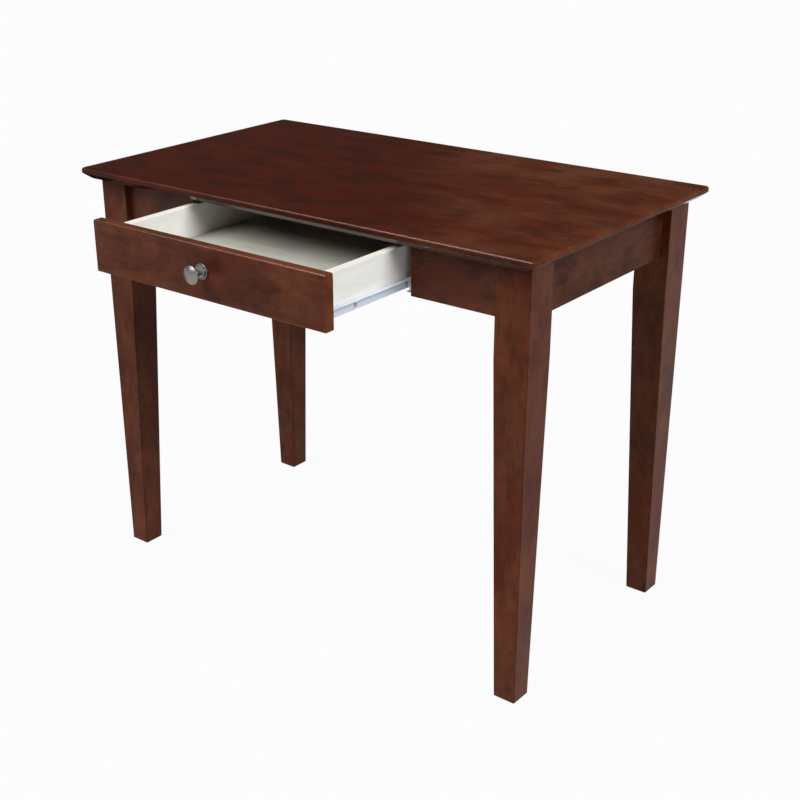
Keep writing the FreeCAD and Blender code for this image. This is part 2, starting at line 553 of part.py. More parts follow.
def knob_profile(sketch):
    """Half outline of the knob, turned about the sketch's Y: foot, ring, waist, flare, rim and domed face."""
    rim_top = "(Sizes.knob_projection - Sizes.knob_cap_dome)"
    rim_low = f"({rim_top} - Sizes.knob_cap_rim)"
    ring_top = "(Sizes.knob_base_height + Sizes.knob_ring_height)"
    points = [
        ("Sizes.knob_base_diameter / 2", "0"),
        ("Sizes.knob_base_diameter / 2", "Sizes.knob_base_height"),
        ("Sizes.knob_ring_diameter / 2", "Sizes.knob_base_height"),
        ("Sizes.knob_ring_diameter / 2", ring_top),
        ("Sizes.knob_neck_diameter / 2", ring_top),
        ("Sizes.knob_flare_diameter / 2", f"({rim_low} - Sizes.knob_cap_under)"),
        ("Sizes.knob_cap_diameter / 2", rim_low),
        ("Sizes.knob_cap_diameter / 2", rim_top),
    ]
    spots = [FreeCAD.Vector(present(x), present(y), 0) for x, y in points]
    foot, rim = FreeCAD.Vector(0, 0, 0), spots[-1]
    crown = FreeCAD.Vector(0, present("Sizes.knob_projection"), 0)
    rise = crown.y - rim.y
    radius = (rim.x ** 2 + rise ** 2) / (2 * rise)
    halfway = FreeCAD.Vector(rim.x / 2, crown.y - radius + math.sqrt(radius ** 2 - rim.x ** 2 / 4), 0)
    lines = []
    for start, stop in zip([foot] + spots, spots):
        lines.append(sketch.addGeometry(Part.LineSegment(start, stop), False))
    dome = sketch.addGeometry(Part.Arc(rim, halfway, crown), False)
    axis = sketch.addGeometry(Part.LineSegment(crown, foot), False)
    for first, second in zip(lines, lines[1:]):
        sketch.addConstraint(Sketcher.Constraint("Coincident", first, 2, second, 1))
    sketch.addConstraint(Sketcher.Constraint("Coincident", lines[-1], 2, dome, 1))
    sketch.addConstraint(Sketcher.Constraint("Coincident", dome, 2, axis, 1))
    sketch.addConstraint(Sketcher.Constraint("Coincident", axis, 2, lines[0], 1))
    sketch.addConstraint(Sketcher.Constraint("Coincident", axis, 2, -1, 1))
    sketch.addConstraint(Sketcher.Constraint("PointOnObject", axis, 1, -2))
    sketch.addConstraint(Sketcher.Constraint("PointOnObject", dome, 3, -2))
    sketch.addConstraint(Sketcher.Constraint("Horizontal", lines[0]))
    dimension(sketch, "projection", "Sizes.knob_projection", "DistanceY", -1, 1, axis, 1, crown.y)
    for i, ((x, y), line, spot) in enumerate(zip(points, lines, spots)):
        dimension(sketch, f"radius_{i}", x, "DistanceX", -1, 1, line, 2, spot.x)
        if i > 0:
            dimension(sketch, f"height_{i}", y, "DistanceY", -1, 1, line, 2, spot.y)


def knob():
    """The turned knob, standing out from the drawer front a little above its middle."""
    body = doc.addObject("PartDesign::Body", "knob_body")
    body.Placement.Rotation = FreeCAD.Rotation(BACK, -BACK)
    place(body, "0", FRONT_FACE, KNOB_Z)
    outline = sketch_on(body, "knob_outline", "XY_Plane")
    knob_profile(outline)
    turned = body.newObject("PartDesign::Revolution", "knob_turned")
    turned.Profile = outline
    turned.ReferenceAxis = (outline, ["V_Axis"])
    turned.Angle = 360
    blanks["knob"] = body


def drawer_box():
    """Box front, back and sides, and the bottom in their grooves."""
    room = "Sizes.groove_clearance"
    panel = [
        (f"-{PANEL_X}", PANEL_X),
        (PANEL_FRONT, PANEL_REAR),
        (PANEL_Z, f"({PANEL_Z} + Sizes.bottom_thickness)"),
    ]
    blanks["drawer_bottom"] = board("drawer_bottom_panel", *panel)
    groove = board("bottom_groove", *[(f"({low} - {room})", f"({high} + {room})") for low, high in panel])
    between = (f"-{BOX_INNER_X}", BOX_INNER_X)
    back_inner = f"({BOX_REAR} - Sizes.box_wall)"
    blanks["drawer_box_front"] = board("box_front_blank", between, (FRONT_BACK, BOX_FRONT_INNER), BOX_SPAN)
    blanks["drawer_box_back"] = board("box_back_blank", between, (back_inner, BOX_REAR), BOX_SPAN)
    drill(groove, "drawer_box_front", "drawer_box_back")
    for side, sx in SIDES.items():
        name = f"drawer_side_{side}"
        wall = mirrored(sx, BOX_INNER_X, BOX_X)
        blanks[name] = board(name + "_blank", wall, (FRONT_BACK, BOX_REAR), BOX_SPAN)
        drill(groove, name)


def drawer_screws():
    """The screws that hold the drawer front and the knob, driven from inside the box."""
    middle = f"(({BOX_TOP} + {PANEL_Z} + Sizes.bottom_thickness) / 2)"
    reach = "Sizes.box_wall + Sizes.front_screw_grip"
    for sx in SIDES.values():
        for up in (-1, 1):
            spot = (signed(sx, f"({BOX_INNER_X} - Sizes.front_screw_inset)"), BOX_FRONT_INNER,
                    f"({middle} + {signed(up, 'Sizes.front_screw_rise / 2')})")
            drive("drawer_front_screws", WOOD_SCREW, spot, -BACK, reach, "drawer_box_front", "drawer_front")
    through = "Sizes.box_wall + Sizes.front_thickness + Sizes.knob_screw_grip"
    spot = ("0", BOX_FRONT_INNER, KNOB_Z)
    drive("knob_screw", KNOB_SCREW, spot, -BACK, through, "drawer_box_front", "drawer_front", "knob")


def finished():
    """Every sub-part, drilled and grouped, under the label that names its file."""
    pieces = []
    for name, blank in blanks.items():
        pieces.append((name, cut(name + "_cut", blank, bores[name]) if name in bores else blank))
    for name, small in sets.items():
        compound = doc.addObject("Part::Compound", name + "_set")
        compound.Links = small
        pieces.append((name, compound))
    for name, piece in pieces:
        piece.Label = name
    return [piece for name, piece in pieces]


def back_apron():
    """The apron between the two back legs."""
    span = (f"-{HEAD_X}", HEAD_X)
    blanks["back_apron"] = board("back_apron_blank", span, (BACK_INNER, BACK_FACE), APRON_SPAN)


def build():
    """Makes every sub-part, checks the document and writes one file for each."""
    desktop()
    back_apron()
    for side in SIDES:
        desk_side(side)
        for end in ENDS:
            leg_corner(end, side)
        slides(side)
    drawer_front()
    drawer_box()
    knob()
    drawer_screws()
    pieces = finished()
    doc.recompute()
    failed = [o.Name for o in doc.Objects if {"Invalid", "Error"} & set(o.State)]
    if failed:
        raise RuntimeError(f"these did not build: {failed}")
    for piece in pieces:
        if piece.Shape.isNull() or not piece.Shape.isValid() or not piece.Shape.Solids:
            raise RuntimeError(f"{piece.Label} has no sound solid")
    os.makedirs("parts", exist_ok=True)
    for piece in pieces:
        piece.Shape.exportStep(f"parts/{piece.Label}.step")
    print(len(pieces), "sub-parts")


build()
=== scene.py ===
import json
import math
from functools import partial

import bpy
import numpy as np
from bpy.props import FloatProperty, FloatVectorProperty, PointerProperty
from mathutils import Matrix, Vector

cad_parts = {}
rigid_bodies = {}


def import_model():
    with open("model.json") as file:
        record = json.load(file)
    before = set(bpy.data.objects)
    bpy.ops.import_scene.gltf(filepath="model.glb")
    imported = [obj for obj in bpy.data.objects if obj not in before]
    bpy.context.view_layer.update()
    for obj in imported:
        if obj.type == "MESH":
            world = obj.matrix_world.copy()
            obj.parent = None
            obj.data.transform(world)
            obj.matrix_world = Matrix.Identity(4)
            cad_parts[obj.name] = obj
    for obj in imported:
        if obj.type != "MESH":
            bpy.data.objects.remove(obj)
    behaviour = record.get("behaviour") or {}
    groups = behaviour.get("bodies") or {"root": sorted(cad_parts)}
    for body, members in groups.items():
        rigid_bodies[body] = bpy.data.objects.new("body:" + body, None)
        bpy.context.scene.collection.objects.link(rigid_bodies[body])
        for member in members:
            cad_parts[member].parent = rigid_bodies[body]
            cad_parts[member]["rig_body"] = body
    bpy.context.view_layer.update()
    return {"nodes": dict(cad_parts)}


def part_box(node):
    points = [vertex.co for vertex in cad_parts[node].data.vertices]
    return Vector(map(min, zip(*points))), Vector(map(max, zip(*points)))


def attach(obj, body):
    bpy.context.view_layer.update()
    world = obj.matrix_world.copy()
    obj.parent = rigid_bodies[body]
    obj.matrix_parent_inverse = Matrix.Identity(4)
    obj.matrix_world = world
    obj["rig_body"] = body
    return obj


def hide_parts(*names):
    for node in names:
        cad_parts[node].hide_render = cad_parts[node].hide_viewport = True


bl_info = {
    "name": "Writing desk finishes",
    "version": (1, 0, 0),
    "blender": (4, 5, 0),
    "location": "View3D > Sidebar > Desk",
    "description": "Finished surfaces for a stained wood writing desk with one drawer",
    "category": "Add Mesh",
}

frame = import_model()

MM = 0.001
SIDES = {"left": -1, "right": 1}
ENDS = {"front": -1, "back": 1}
X, Y, Z = 0, 1, 2
FLAT_MARGIN = 0.6 * MM   # a row of points this far on the flat beside a rounding keeps the flat's shading flat
ARC_STEPS = 5
CREASE = math.radians(32)
SHEARED_ROW = 0.1 * MM   # how far back from a sheared edge the coat begins
SCREW_GAP, SCREW_LENGTH = 5 * MM, 100 * MM   # screws stand further apart than one, and are shorter than the other
LEG_HEAD = 700 * MM      # above this height a leg is square
TOUCH = 0.01 * MM        # points closer than this lie on one face
RIM = 0.9                # points beyond this share of a screw head's radius are on its rim
SMALL_TURN, KNOB_TURN, FLOOR_TURN = 48, 72, 96   # points round a turning
WIDE, NARROW = (0.3, 0.7), (0.35, 0.65)   # a noise is nearly always within the first, and mostly within the second

# The desktop's stain: the way it fades, from where to where in millimetres, and its depth and wisps before that
TOP_FADE = ((1, 0.6, 0), 0, 230, 0.5, 0.2)

# Stage, in metres
FLOOR_RINGS = [(0.5, 0), (60, 0)]              # radius and height
FLOOR_SHARE = 0.95                             # how much of the seen floor is its own colour
HORIZON, OVERHEAD = (0.03, 0.08), (0.6, 0.9)   # rises where the backdrop ends and where the ceiling begins
DIM_SKY = 0.03                                 # strength of the sky between them
SUNS = {   # the way to each light, and its spread in degrees
    "key": ((-0.25, -0.66, 0.71), 40),
    "side": ((0.83, -0.08, 0.55), 30),
}
STRIP_PLACE, STRIP_SIZE = (-0.25, -0.85, 2.35), (2.3, 1.1)
FLAG_X, FLAG_Y = (-3.2, -1.0), (-0.6, 2.4)
EYE, AIM, ROLL = Vector((1.4321, -1.8082, 1.3172)), Vector((0.0890, -0.1854, 0.3938)), math.radians(-0.747)
FILM, SHIFT = 36, (0.0528, 0.0219)             # film width in millimetres, and the lens's shift in film widths


def linear(code):
    """Linear colour with alpha 1 from an sRGB hex code such as 4e2216."""
    srgb = np.array([int(code[i:i + 2], 16) for i in (0, 2, 4)]) / 255
    value = np.where(srgb <= 0.04045, srgb / 12.92, ((srgb + 0.055) / 1.055) ** 2.4)
    return (*value.tolist(), 1.0)


def length(name, description, size):
    """A length, from its size in millimetres."""
    return FloatProperty(name=name, description=description, default=size * MM, min=0, precision=4, unit="LENGTH")


def share(name, description, default):
    """A plain number from 0 to 1."""
    return FloatProperty(name=name, description=description, default=default, min=0, max=1, subtype="FACTOR")


def colour(name, description, code):
    """A colour given as an sRGB hex code."""
    return FloatVectorProperty(name=name, description=description, default=linear(code), size=4, min=0, max=1,
                               subtype="COLOR")


def box(node):
    """Lowest and highest corner of a CAD node, as arrays in metres."""
    low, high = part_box(node)
    return np.array(low), np.array(high)


def node_points(node):
    """The points of a CAD node's mesh, one row each."""
    mesh = frame["nodes"][node].data
    points = np.empty(len(mesh.vertices) * 3)
    mesh.vertices.foreach_get("co", points)
    return points.reshape(-1, 3)


def leg_facts():
    """Foot size and the height where the taper begins, read from a leg's own points."""
    points = node_points("leg_front_right")
    foot = points[points[:, Z] < MM]
    inner = points[:, X] < points[points[:, Z] > LEG_HEAD][:, X].min() + TOUCH
    return float(np.ptp(foot[:, X])), float(points[inner][:, Z].min())


LEG_FOOT, LEG_BREAK = leg_facts()


class DesktopSizes(bpy.types.PropertyGroup):
    """The board's edge."""
    nose: length("Nose", "Upright part of the edge", 9)
    bevel: length("Bevel", "How far the edge is cut back underneath", 12)
    corner: length("Corner", "Radius of the corners in plan", 7)
    rounding: length("Rounding", "Radius of the nose's two edges", 3.5)


class LegSizes(bpy.types.PropertyGroup):
    """The tapered legs."""
    foot: length("Foot", "Square section at the floor", LEG_FOOT / MM)
    taper_start: length("Taper start", "Height where the taper begins", LEG_BREAK / MM)
    easing: length("Easing", "Radius along the upright edges", 1.1)
    chamfer: length("Foot chamfer", "Chamfer round the foot", 2)


class FrameSizes(bpy.types.PropertyGroup):
    """Rails and aprons."""
    easing: length("Easing", "Radius of the boards' edges", 1.2)


class DrawerSizes(bpy.types.PropertyGroup):
    """Drawer front and box."""
    front_easing: length("Front easing", "Radius of the drawer front's edges", 2.5)
    front_back: length("Front back", "Radius of the edges behind the drawer front", 0.5)
    front_corner: length("Front corner", "Radius of the drawer front's corners", 3)
    board_easing: length("Board easing", "Radius of the box boards' edges", 0.8)
    groove_depth: length("Groove depth", "Groove that holds the drawer bottom", 6)
    groove_room: length("Groove room", "Room round the drawer bottom in its groove", 0.1)


class SlideSizes(bpy.types.PropertyGroup):
    """Folded steel slides and their rollers."""
    gauge: length("Gauge", "Thickness of the steel", 1.2)
    bend: length("Bend", "Radius of the folds, at the middle of the steel", 1.1)
    cabinet_lip: length("Cabinet lip", "Width of the cabinet member's upper lip", 4.6)
    roller_bore: length("Roller bore", "Radius of the rollers' bores", 2.55)
    roller_edge: length("Roller edge", "Rounding of the rollers' treads", 0.9)


class KnobSizes(bpy.types.PropertyGroup):
    """The turned knob. Heights are from the drawer front."""
    cap_rim: length("Cap rim", "Upright rim of the cap", 2)
    cap_dome: length("Cap dome", "Domed face past the rim", 5)
    cap_under: length("Cap under", "Sloping underside of the cap", 5)
    neck: length("Neck", "Radius of the waist", 5.5)
    neck_length: length("Neck length", "Straight part of the waist", 4)
    flare: length("Flare", "Radius of the neck where it meets the cap", 9)
    base: length("Base", "Radius of the foot", 12.5)
    base_height: length("Base height", "Height of the foot", 3)
    base_rim: length("Base rim", "Width of the foot's raised rim", 1.3)
    groove: length("Groove", "Depth of the groove inside the foot's rim", 1.6)
    ring: length("Ring", "Radius of the raised ring", 9.5)
    ring_height: length("Ring height", "Height of the raised ring", 2.5)
    rounding: length("Rounding", "Radius of the turned edges", 0.9)


class WoodColours(bpy.types.PropertyGroup):
    """Wood finishes."""
    stain_red: colour("Stain red", "The redder clouds of the stain", "4f1809")
    stain_brown: colour("Stain brown", "The browner clouds of the stain", "5a3522")
    # also the colour of the painted shade on the desktop's front nose and the side aprons
    stain_dark_and_shade: colour("Stain dark", "Stain where it pools", "33160d")
    stain_light: colour("Stain light", "Stain where it is thin", "6d3d25")
    # also paints part of the highlight line along the desktop's front edge
    stain_worn_and_highlight: colour("Stain worn", "Rubbed edges", "7d4428")
    pore: colour("Pore", "Open pores that hold stain", "260d08")
    satin: share("Satin", "Roughness of the lacquer", 0.32)
    lacquer: share("Lacquer", "How strongly the thin lacquer reflects", 0.06)
    glaze: share("Glaze", "How strongly the lacquer that ran under the nose reflects", 0.6)
    run_gloss: share("Run gloss", "Roughness of the lacquer that ran under the nose", 0.12)
    # rubbed edge, and along the front edge partly a painted highlight line
    nose_wear_and_highlight: share("Nose wear", "How far the desktop's nose is rubbed", 0.4)
    nose_glaze: share("Nose glaze", "How thick the lacquer is on the front nose", 0.07)
    # painted shade: darkens the front nose towards its right end
    nose_painted_shade: share("Nose gather", "How much stain gathers at the front nose's right end", 0.4)
    # darkens the legs' rounded edges and foot chamfers
    leg_edge_darkening: share("Leg gather", "How much stain gathers on the legs' edges", 0.4)
    board_wear: share("Board wear", "How far the edges of rails and aprons are rubbed", 0.2)
    front_wear: share("Front wear", "How far the drawer front's edges are rubbed", 0.3)
    rim_wear: share("Rim wear", "How far the drawer front's thin sides are rubbed", 0.6)
    plain_light: colour("Plain light", "Unfinished wood, early growth", "d3b183")
    plain_dark: colour("Plain dark", "Unfinished wood, late growth", "ae8452")
    board_white: colour("Board white", "White drawer boards", "eaeae6")
    board_grey: colour("Board grey", "Greyer patches in the white", "e0e0db")
    board_raw: colour("Board raw", "Uncoated upper edges", "f4eedd")
    panel_white: colour("Panel white", "Thin drawer bottom", "cbcabd")
    panel_grey: colour("Panel grey", "Greyer patches in the drawer bottom", "bcbbae")


class MetalColours(bpy.types.PropertyGroup):
    """Metal and plastic finishes."""
    coating: colour("Coating", "Epoxy coating of the slides", "ecf3ff")
    # also painted shade on the slides' web under the upper flange
    sheared_steel_and_shade: colour("Coating thin", "Steel that shows through the coating where it is thin", "98a4ba")
    zinc: colour("Zinc", "Plated screws, bolts and pins", "c6c9cc")
    zinc_dull: colour("Zinc dull", "Duller patches in the plating", "9c9fa3")
    nylon: colour("Nylon", "Slide rollers", "e8e7e0")
    nickel: colour("Nickel", "Satin nickel of the knob", "8b8886")


class StageSettings(bpy.types.PropertyGroup):
    """Floor, light and camera."""
    floor: colour("Floor", "Floor where it is lit", "b8b8b6")
    backdrop: colour("Backdrop", "Pale backdrop at the horizon", "f8f8f7")
    flag: colour("Flag", "Felt card that is kept out of the picture", "1a1412")
    lens: length("Lens", "Focal length for a 36 mm film", 60.63)
    key: FloatProperty(name="Key", description="Strength of the soft light from the front", default=2.75, min=0)
    side: FloatProperty(name="Side", description="Strength of the soft light from the right", default=2.7, min=0)
    strip: FloatProperty(name="Strip", description="Power of the strip lamp that draws the edges", default=360, min=0,
                         unit="POWER")
    ceiling: share("Ceiling", "Brightness of the sky overhead", 0.1)


# Surfaces


def others(axis):
    """The two other axes, in turn."""
    return [(axis + 1) % 3, (axis + 2) % 3]


def corner_pattern():
    """Rows that draw a rounded rectangle anticlockwise. A point is sign * (half size - radius) + turn * radius
    + slip * margin: a quarter circle at each corner, with one point more on the flat before and after it."""
    bend = np.concatenate([[0], np.linspace(0, np.pi / 2, ARC_STEPS + 1), [np.pi / 2]])
    quarter = np.arange(4)[:, None] * np.pi / 2
    angle = (bend + quarter).ravel()
    middle = np.broadcast_to(quarter + np.pi / 4, (4, len(bend))).ravel()
    step = np.tile(np.concatenate([[-1], np.zeros(ARC_STEPS + 1), [1]]), 4)
    turn = np.stack([np.cos(angle), np.sin(angle)], -1)
    sign = np.sign(np.stack([np.cos(middle), np.sin(middle)], -1))
    slip = step[:, None] * np.stack([-np.sin(angle), np.cos(angle)], -1)
    return sign, turn, slip, 1 - np.abs(step)


SIGN, TURN, SLIP, ON_ARC = corner_pattern()


def rounded_rectangles(half, radius):
    """One rounded rectangle for each row of half sizes (m, 2) and radius (m), as (m, n, 2) points."""
    half, radius = half[:, None, :], radius[:, None, None]
    return SIGN * (half - radius) + TURN * radius + SLIP * FLAT_MARGIN


def end_stations(ease):
    """Depth behind an end face and inset from the sides, along the quarter circle that eases the end's edges:
    depth = ease * (1 - cos t), inset = ease * (1 - sin t), with one row more on the flat at either end."""
    t = np.linspace(0, np.pi / 2, ARC_STEPS + 1)
    depth = np.concatenate([[0], ease * (1 - np.cos(t)), [ease + FLAT_MARGIN]])
    inset = np.concatenate([[ease + FLAT_MARGIN], ease * (1 - np.sin(t)), [0]])
    on_arc = np.concatenate([[0], np.ones_like(t), [0]])
    return depth, inset, on_arc


def eased_board(low, high, along, ease, corner=None, groove=None, far_ease=None):
    """A board between two corners, as rounded rectangles stacked along one axis, smaller towards the ends where the
    edges are eased, at the far end perhaps differently. A groove is (outward sign and axis of its face, level axis, low
    level, high level, depth)."""
    corner = ease if corner is None else corner
    across = others(along)
    depth, inset, end_arc = end_stations(ease)
    far_depth, far_inset, far_arc = end_stations(ease if far_ease is None else far_ease)
    place = np.concatenate([low[along] + depth, high[along] - far_depth[::-1]])
    inset = np.concatenate([inset, far_inset[::-1]])
    end_arc = np.concatenate([end_arc, far_arc[::-1]])
    middle, half = (low + high)[across] / 2, (high - low)[across] / 2
    least = 0.3 * corner
    flat = rounded_rectangles(half - inset[:, None], np.maximum(corner - inset, least))
    wear = np.maximum(ON_ARC, end_arc[:, None])
    if groove:
        sign, face, level, start, stop, deep = groove
        normal = np.array([sign * (axis == face) for axis in across])
        tangent = np.array([-normal[1], normal[0]])
        spot = np.array([axis == level for axis in across])
        ends = np.sort((np.array([start, stop]) - middle @ spot) * (tangent @ spot))
        reach = half @ np.abs(normal)
        mouth = (reach - inset)[:, None]
        floor = np.full_like(mouth, reach - deep)
        out = np.concatenate([mouth, floor, floor, mouth], 1)[..., None]
        notch = out * normal + ends[[0, 0, 1, 1]][:, None] * tangent
        quarter = round(math.atan2(normal[1], normal[0]) / (math.pi / 2)) % 4
        at = quarter * (ARC_STEPS + 3)
        flat = np.concatenate([flat[:, :at], notch, flat[:, at:]], 1)
        wear = np.concatenate([wear[:, :at], np.zeros(notch.shape[:2]), wear[:, at:]], 1)
    rings = np.empty((*flat.shape[:2], 3))
    rings[..., along] = place[:, None]
    rings[..., across] = flat + middle
    return rings, wear


def tapered_post(outer, inward, head, sizes, top):
    """A leg: squares stacked up the height whose outer corner stays in place and whose side grows in a straight line
    from foot to head below the taper's start. The foot's lowest rows are drawn in for the chamfer."""
    bend = 3 * MM   # rows this far from the taper's start keep its break crisp
    start, chamfer = sizes.taper_start, sizes.chamfer
    height = np.array([0, 0, chamfer, chamfer + FLAT_MARGIN, start - bend, start, start + bend, top])
    inset = np.array([chamfer + FLAT_MARGIN, chamfer, 0, 0, 0, 0, 0, 0])
    side = sizes.foot + (head - sizes.foot) * np.clip(height / start, 0, 1)
    middle = outer + inward * side[:, None] / 2
    half = np.repeat((side / 2 - inset)[:, None], 2, 1)
    flat = rounded_rectangles(half, np.full_like(side, sizes.easing)) + middle[:, None]
    rings = np.concatenate([flat, np.broadcast_to(height[:, None, None], (*flat.shape[:2], 1))], -1)
    chamfered = np.array([0, 1, 1, 0, 0, 0, 0, 0])[:, None]
    return rings, np.maximum(ON_ARC, chamfered)


def desktop_edge(sizes, thickness):
    """Inset and drop below the upper face, down the board's edge: a quarter circle, the upright nose, an arc that turns
    through the angle between nose and bevel, and the straight bevel. Wear is sin 2t, times the share of the quarter
    circle that is turned by then: a rubbed edge, and along the front edge partly a painted highlight line. The nose
    counts from the quarter circle, t / (pi / 2), to the second arc, and the bevel from that arc's last row."""
    r, drop = sizes.rounding, thickness - sizes.nose
    t = np.linspace(0, np.pi / 2, ARC_STEPS + 2)
    angle = math.atan2(sizes.bevel, drop)
    tangent = r * math.tan(angle / 2)
    u = np.linspace(0, angle, ARC_STEPS + 2)
    inset = [[r + FLAT_MARGIN], r * (1 - np.sin(t)), r * (1 - np.cos(u)), [sizes.bevel, sizes.bevel + FLAT_MARGIN]]
    below = [[0], r * (1 - np.cos(t)), sizes.nose - tangent + r * np.sin(u), [thickness, thickness]]
    wear = [[0], np.sin(2 * t) * t / t[-1], np.zeros_like(u), [0, 0]]
    nose = [[0], t / t[-1], np.ones_like(u), [0, 0]]
    bevel = [[0], np.zeros_like(t), u == angle, [1, 0]]
    return [np.concatenate(rows) for rows in (inset, below, wear, nose, bevel)]


def desktop_board(low, high, sizes, look):
    """The desktop: rounded rectangles in plan, each drawn in and lowered as the edge's profile says. The lacquer is
    thick on the bevel and a little so on the front nose. The front nose is darkened towards its right end as painted
    shade, and the wear on the nose's upper rounding is partly a painted highlight along the front edge."""
    inset, below, wear, nose, bevel = desktop_edge(sizes, high[Z] - low[Z])
    middle, half = (low + high)[:2] / 2, (high - low)[:2] / 2
    flat = rounded_rectangles(half - inset[:, None], np.full_like(inset, sizes.corner)) + middle
    height = np.broadcast_to((high[Z] - below)[:, None, None], (*flat.shape[:2], 1))
    front = nose[:, None] * np.clip(-TURN[:, 1], 0, 1)
    marks = {
        # wear on the nose's upper rounding: rubbed edge, and on the front partly a painted highlight
        "wear": np.repeat(wear[:, None] * look.nose_wear_and_highlight, flat.shape[1], 1),
        "glaze": np.maximum(bevel[:, None], front * look.nose_glaze),
        # painted shade: the front nose darker towards its right end
        "gather": front * (SIGN[:, 0] > 0) * look.nose_painted_shade,
    }
    return np.concatenate([flat, height], -1), marks


def rounded_path(points, radius):
    """A path of straight runs whose inner corners are arcs: each arc starts radius * tan(turn / 2) before its corner,
    and its heading turns evenly. Gives the points and their headings."""
    run = np.diff(points, axis=0)
    run /= np.linalg.norm(run, axis=1, keepdims=True)
    first, second = run[:-1], run[1:]
    turn = np.arctan2(first[:, 0] * second[:, 1] - first[:, 1] * second[:, 0], (first * second).sum(1))[:, None]
    radius = np.broadcast_to(radius, turn.shape[:1])[:, None]
    heading = np.arctan2(first[:, 1], first[:, 0])[:, None] + turn * np.linspace(0, 1, ARC_STEPS + 1)
    begin = points[1:-1] - first * radius * np.tan(np.abs(turn) / 2)
    side = np.stack([-np.sin(heading), np.cos(heading)], -1) * (radius * np.sign(turn))[..., None]
    arcs = begin[:, None] + side[:, :1] - side
    ends = np.arctan2(run[[0, -1], 1], run[[0, -1], 0])
    path = np.concatenate([points[:1], arcs.reshape(-1, 2), points[-1:]])
    return path, np.concatenate([ends[:1], heading.ravel(), ends[1:]])


def folded_strip(points, gauge, bend, start, stop):
    """A strip of steel folded along a path in the X-Z plane, half its gauge to either side, and run along Y. The thin
    mark is 1 on the two sheared edges, where grey steel shows, and 0.5 on the run between the first fold and the last,
    where the web is greyed as painted shade under the upper flange."""
    path, heading = rounded_path(np.array(points), bend)
    ahead = np.stack([np.cos(heading), np.sin(heading)], -1) * SHEARED_ROW
    path = np.concatenate([path[:1], path[:1] + ahead[:1], path[1:-1], path[-1:] - ahead[-1:], path[-1:]])
    heading = heading[[0, *range(len(heading)), -1]]
    # the 0.5 on the web between the folds is painted shade under the upper flange
    fold = np.linspace(0, 0.5, ARC_STEPS + 1)
    thin = np.concatenate([[1, 0], fold, fold[::-1], [0, 1]])
    aside = np.stack([-np.sin(heading), np.cos(heading)], -1) * gauge / 2
    flat = np.concatenate([path + aside, (path - aside)[::-1]])
    rings = np.empty((2, len(flat), 3))
    rings[..., [X, Z]] = flat
    rings[..., Y] = np.array([start, stop])[:, None]
    return rings, np.tile(np.concatenate([thin, thin[::-1]]), (2, 1))


def turned(profile, centre, axis, steps):
    """A profile of (radius, height) rows turned about an axis: around it, a row is at radius * (cos t, sin t)."""
    t = np.linspace(0, 2 * np.pi, steps, endpoint=False)
    across = others(axis)
    rings = np.empty((len(profile), steps, 3))
    rings[..., across] = profile[:, :1, None] * np.stack([np.cos(t), np.sin(t)], -1) + centre[across]
    rings[..., axis] = profile[:, 1:] + centre[axis]
    return rings


def screw_facts(points, axis):
    """Centre across the axis, crown, tip, which way the head looks, and the head's and shank's radii and head's height,
    read from one screw's own points."""
    across = others(axis)
    along = points[:, axis]
    centre = (points.min(0) + points.max(0)) / 2
    radius = np.linalg.norm(points[:, across] - centre[across], axis=1)
    head = radius > RIM * radius.max()
    way = 1 if along[head].mean() > centre[axis] else -1
    crown, tip = (along.max(), along.min())[::way]
    shank = radius[np.abs(along - tip) < TOUCH].max()
    return centre, crown, tip, way, radius.max(), shank, np.ptp(along[head])


def pan_head_screw(points, axis):
    """A screw turned about its axis: a shank with a short point, and a head whose crown falls with a power of the
    radius, less a cross whose arms are the points with |x| or |y| under the arm's half width, out to its length."""
    fall, power, deep = 0.55, 2.4, 0.6   # the crown's fall and the cross's depth are shares of the head's height
    arm, slope = np.array([0.15, 0.6]), np.array([0.06, 0.08])   # half width and length, and walls, in head radii
    centre, crown, tip, way, head, shank, height = screw_facts(points, axis)
    reach = np.linspace(0.02, 1, 15)   # rows over the crown, in head radii
    full = abs(crown - tip)
    rows = [np.stack([reach * head, -fall * height * reach ** power], -1),
            [(head, -height), (shank, -height), (shank, 2 * shank - full), (0.2 * shank, -full)]]
    base = centre.copy()
    base[axis] = crown
    rings = turned(np.concatenate(rows) * (1, way), base, axis, SMALL_TURN)
    across = others(axis)
    spread = np.sort(np.abs(rings[..., across] - centre[across]) / head, -1)
    slot = np.clip((arm - spread) / slope + 0.5, 0, 1).prod(-1)
    slot[len(reach):] = 0
    rings[..., axis] -= way * deep * height * slot
    return rings[:, ::way]


def loose_parts(node, reach):
    """The points of a CAD node in groups: a gap of more than the reach along an axis parts one group from the next."""
    points = node_points(node)
    order = np.argsort(points, 0)
    ranked = np.take_along_axis(points, order, 0)
    step = np.diff(ranked, axis=0, prepend=ranked[:1]) > reach
    key = np.empty(points.shape, int)
    np.put_along_axis(key, order, np.cumsum(step, 0), 0)
    names, group = np.unique(key, axis=0, return_inverse=True)
    return [points[group.ravel() == i] for i in range(len(names))]


# Pieces


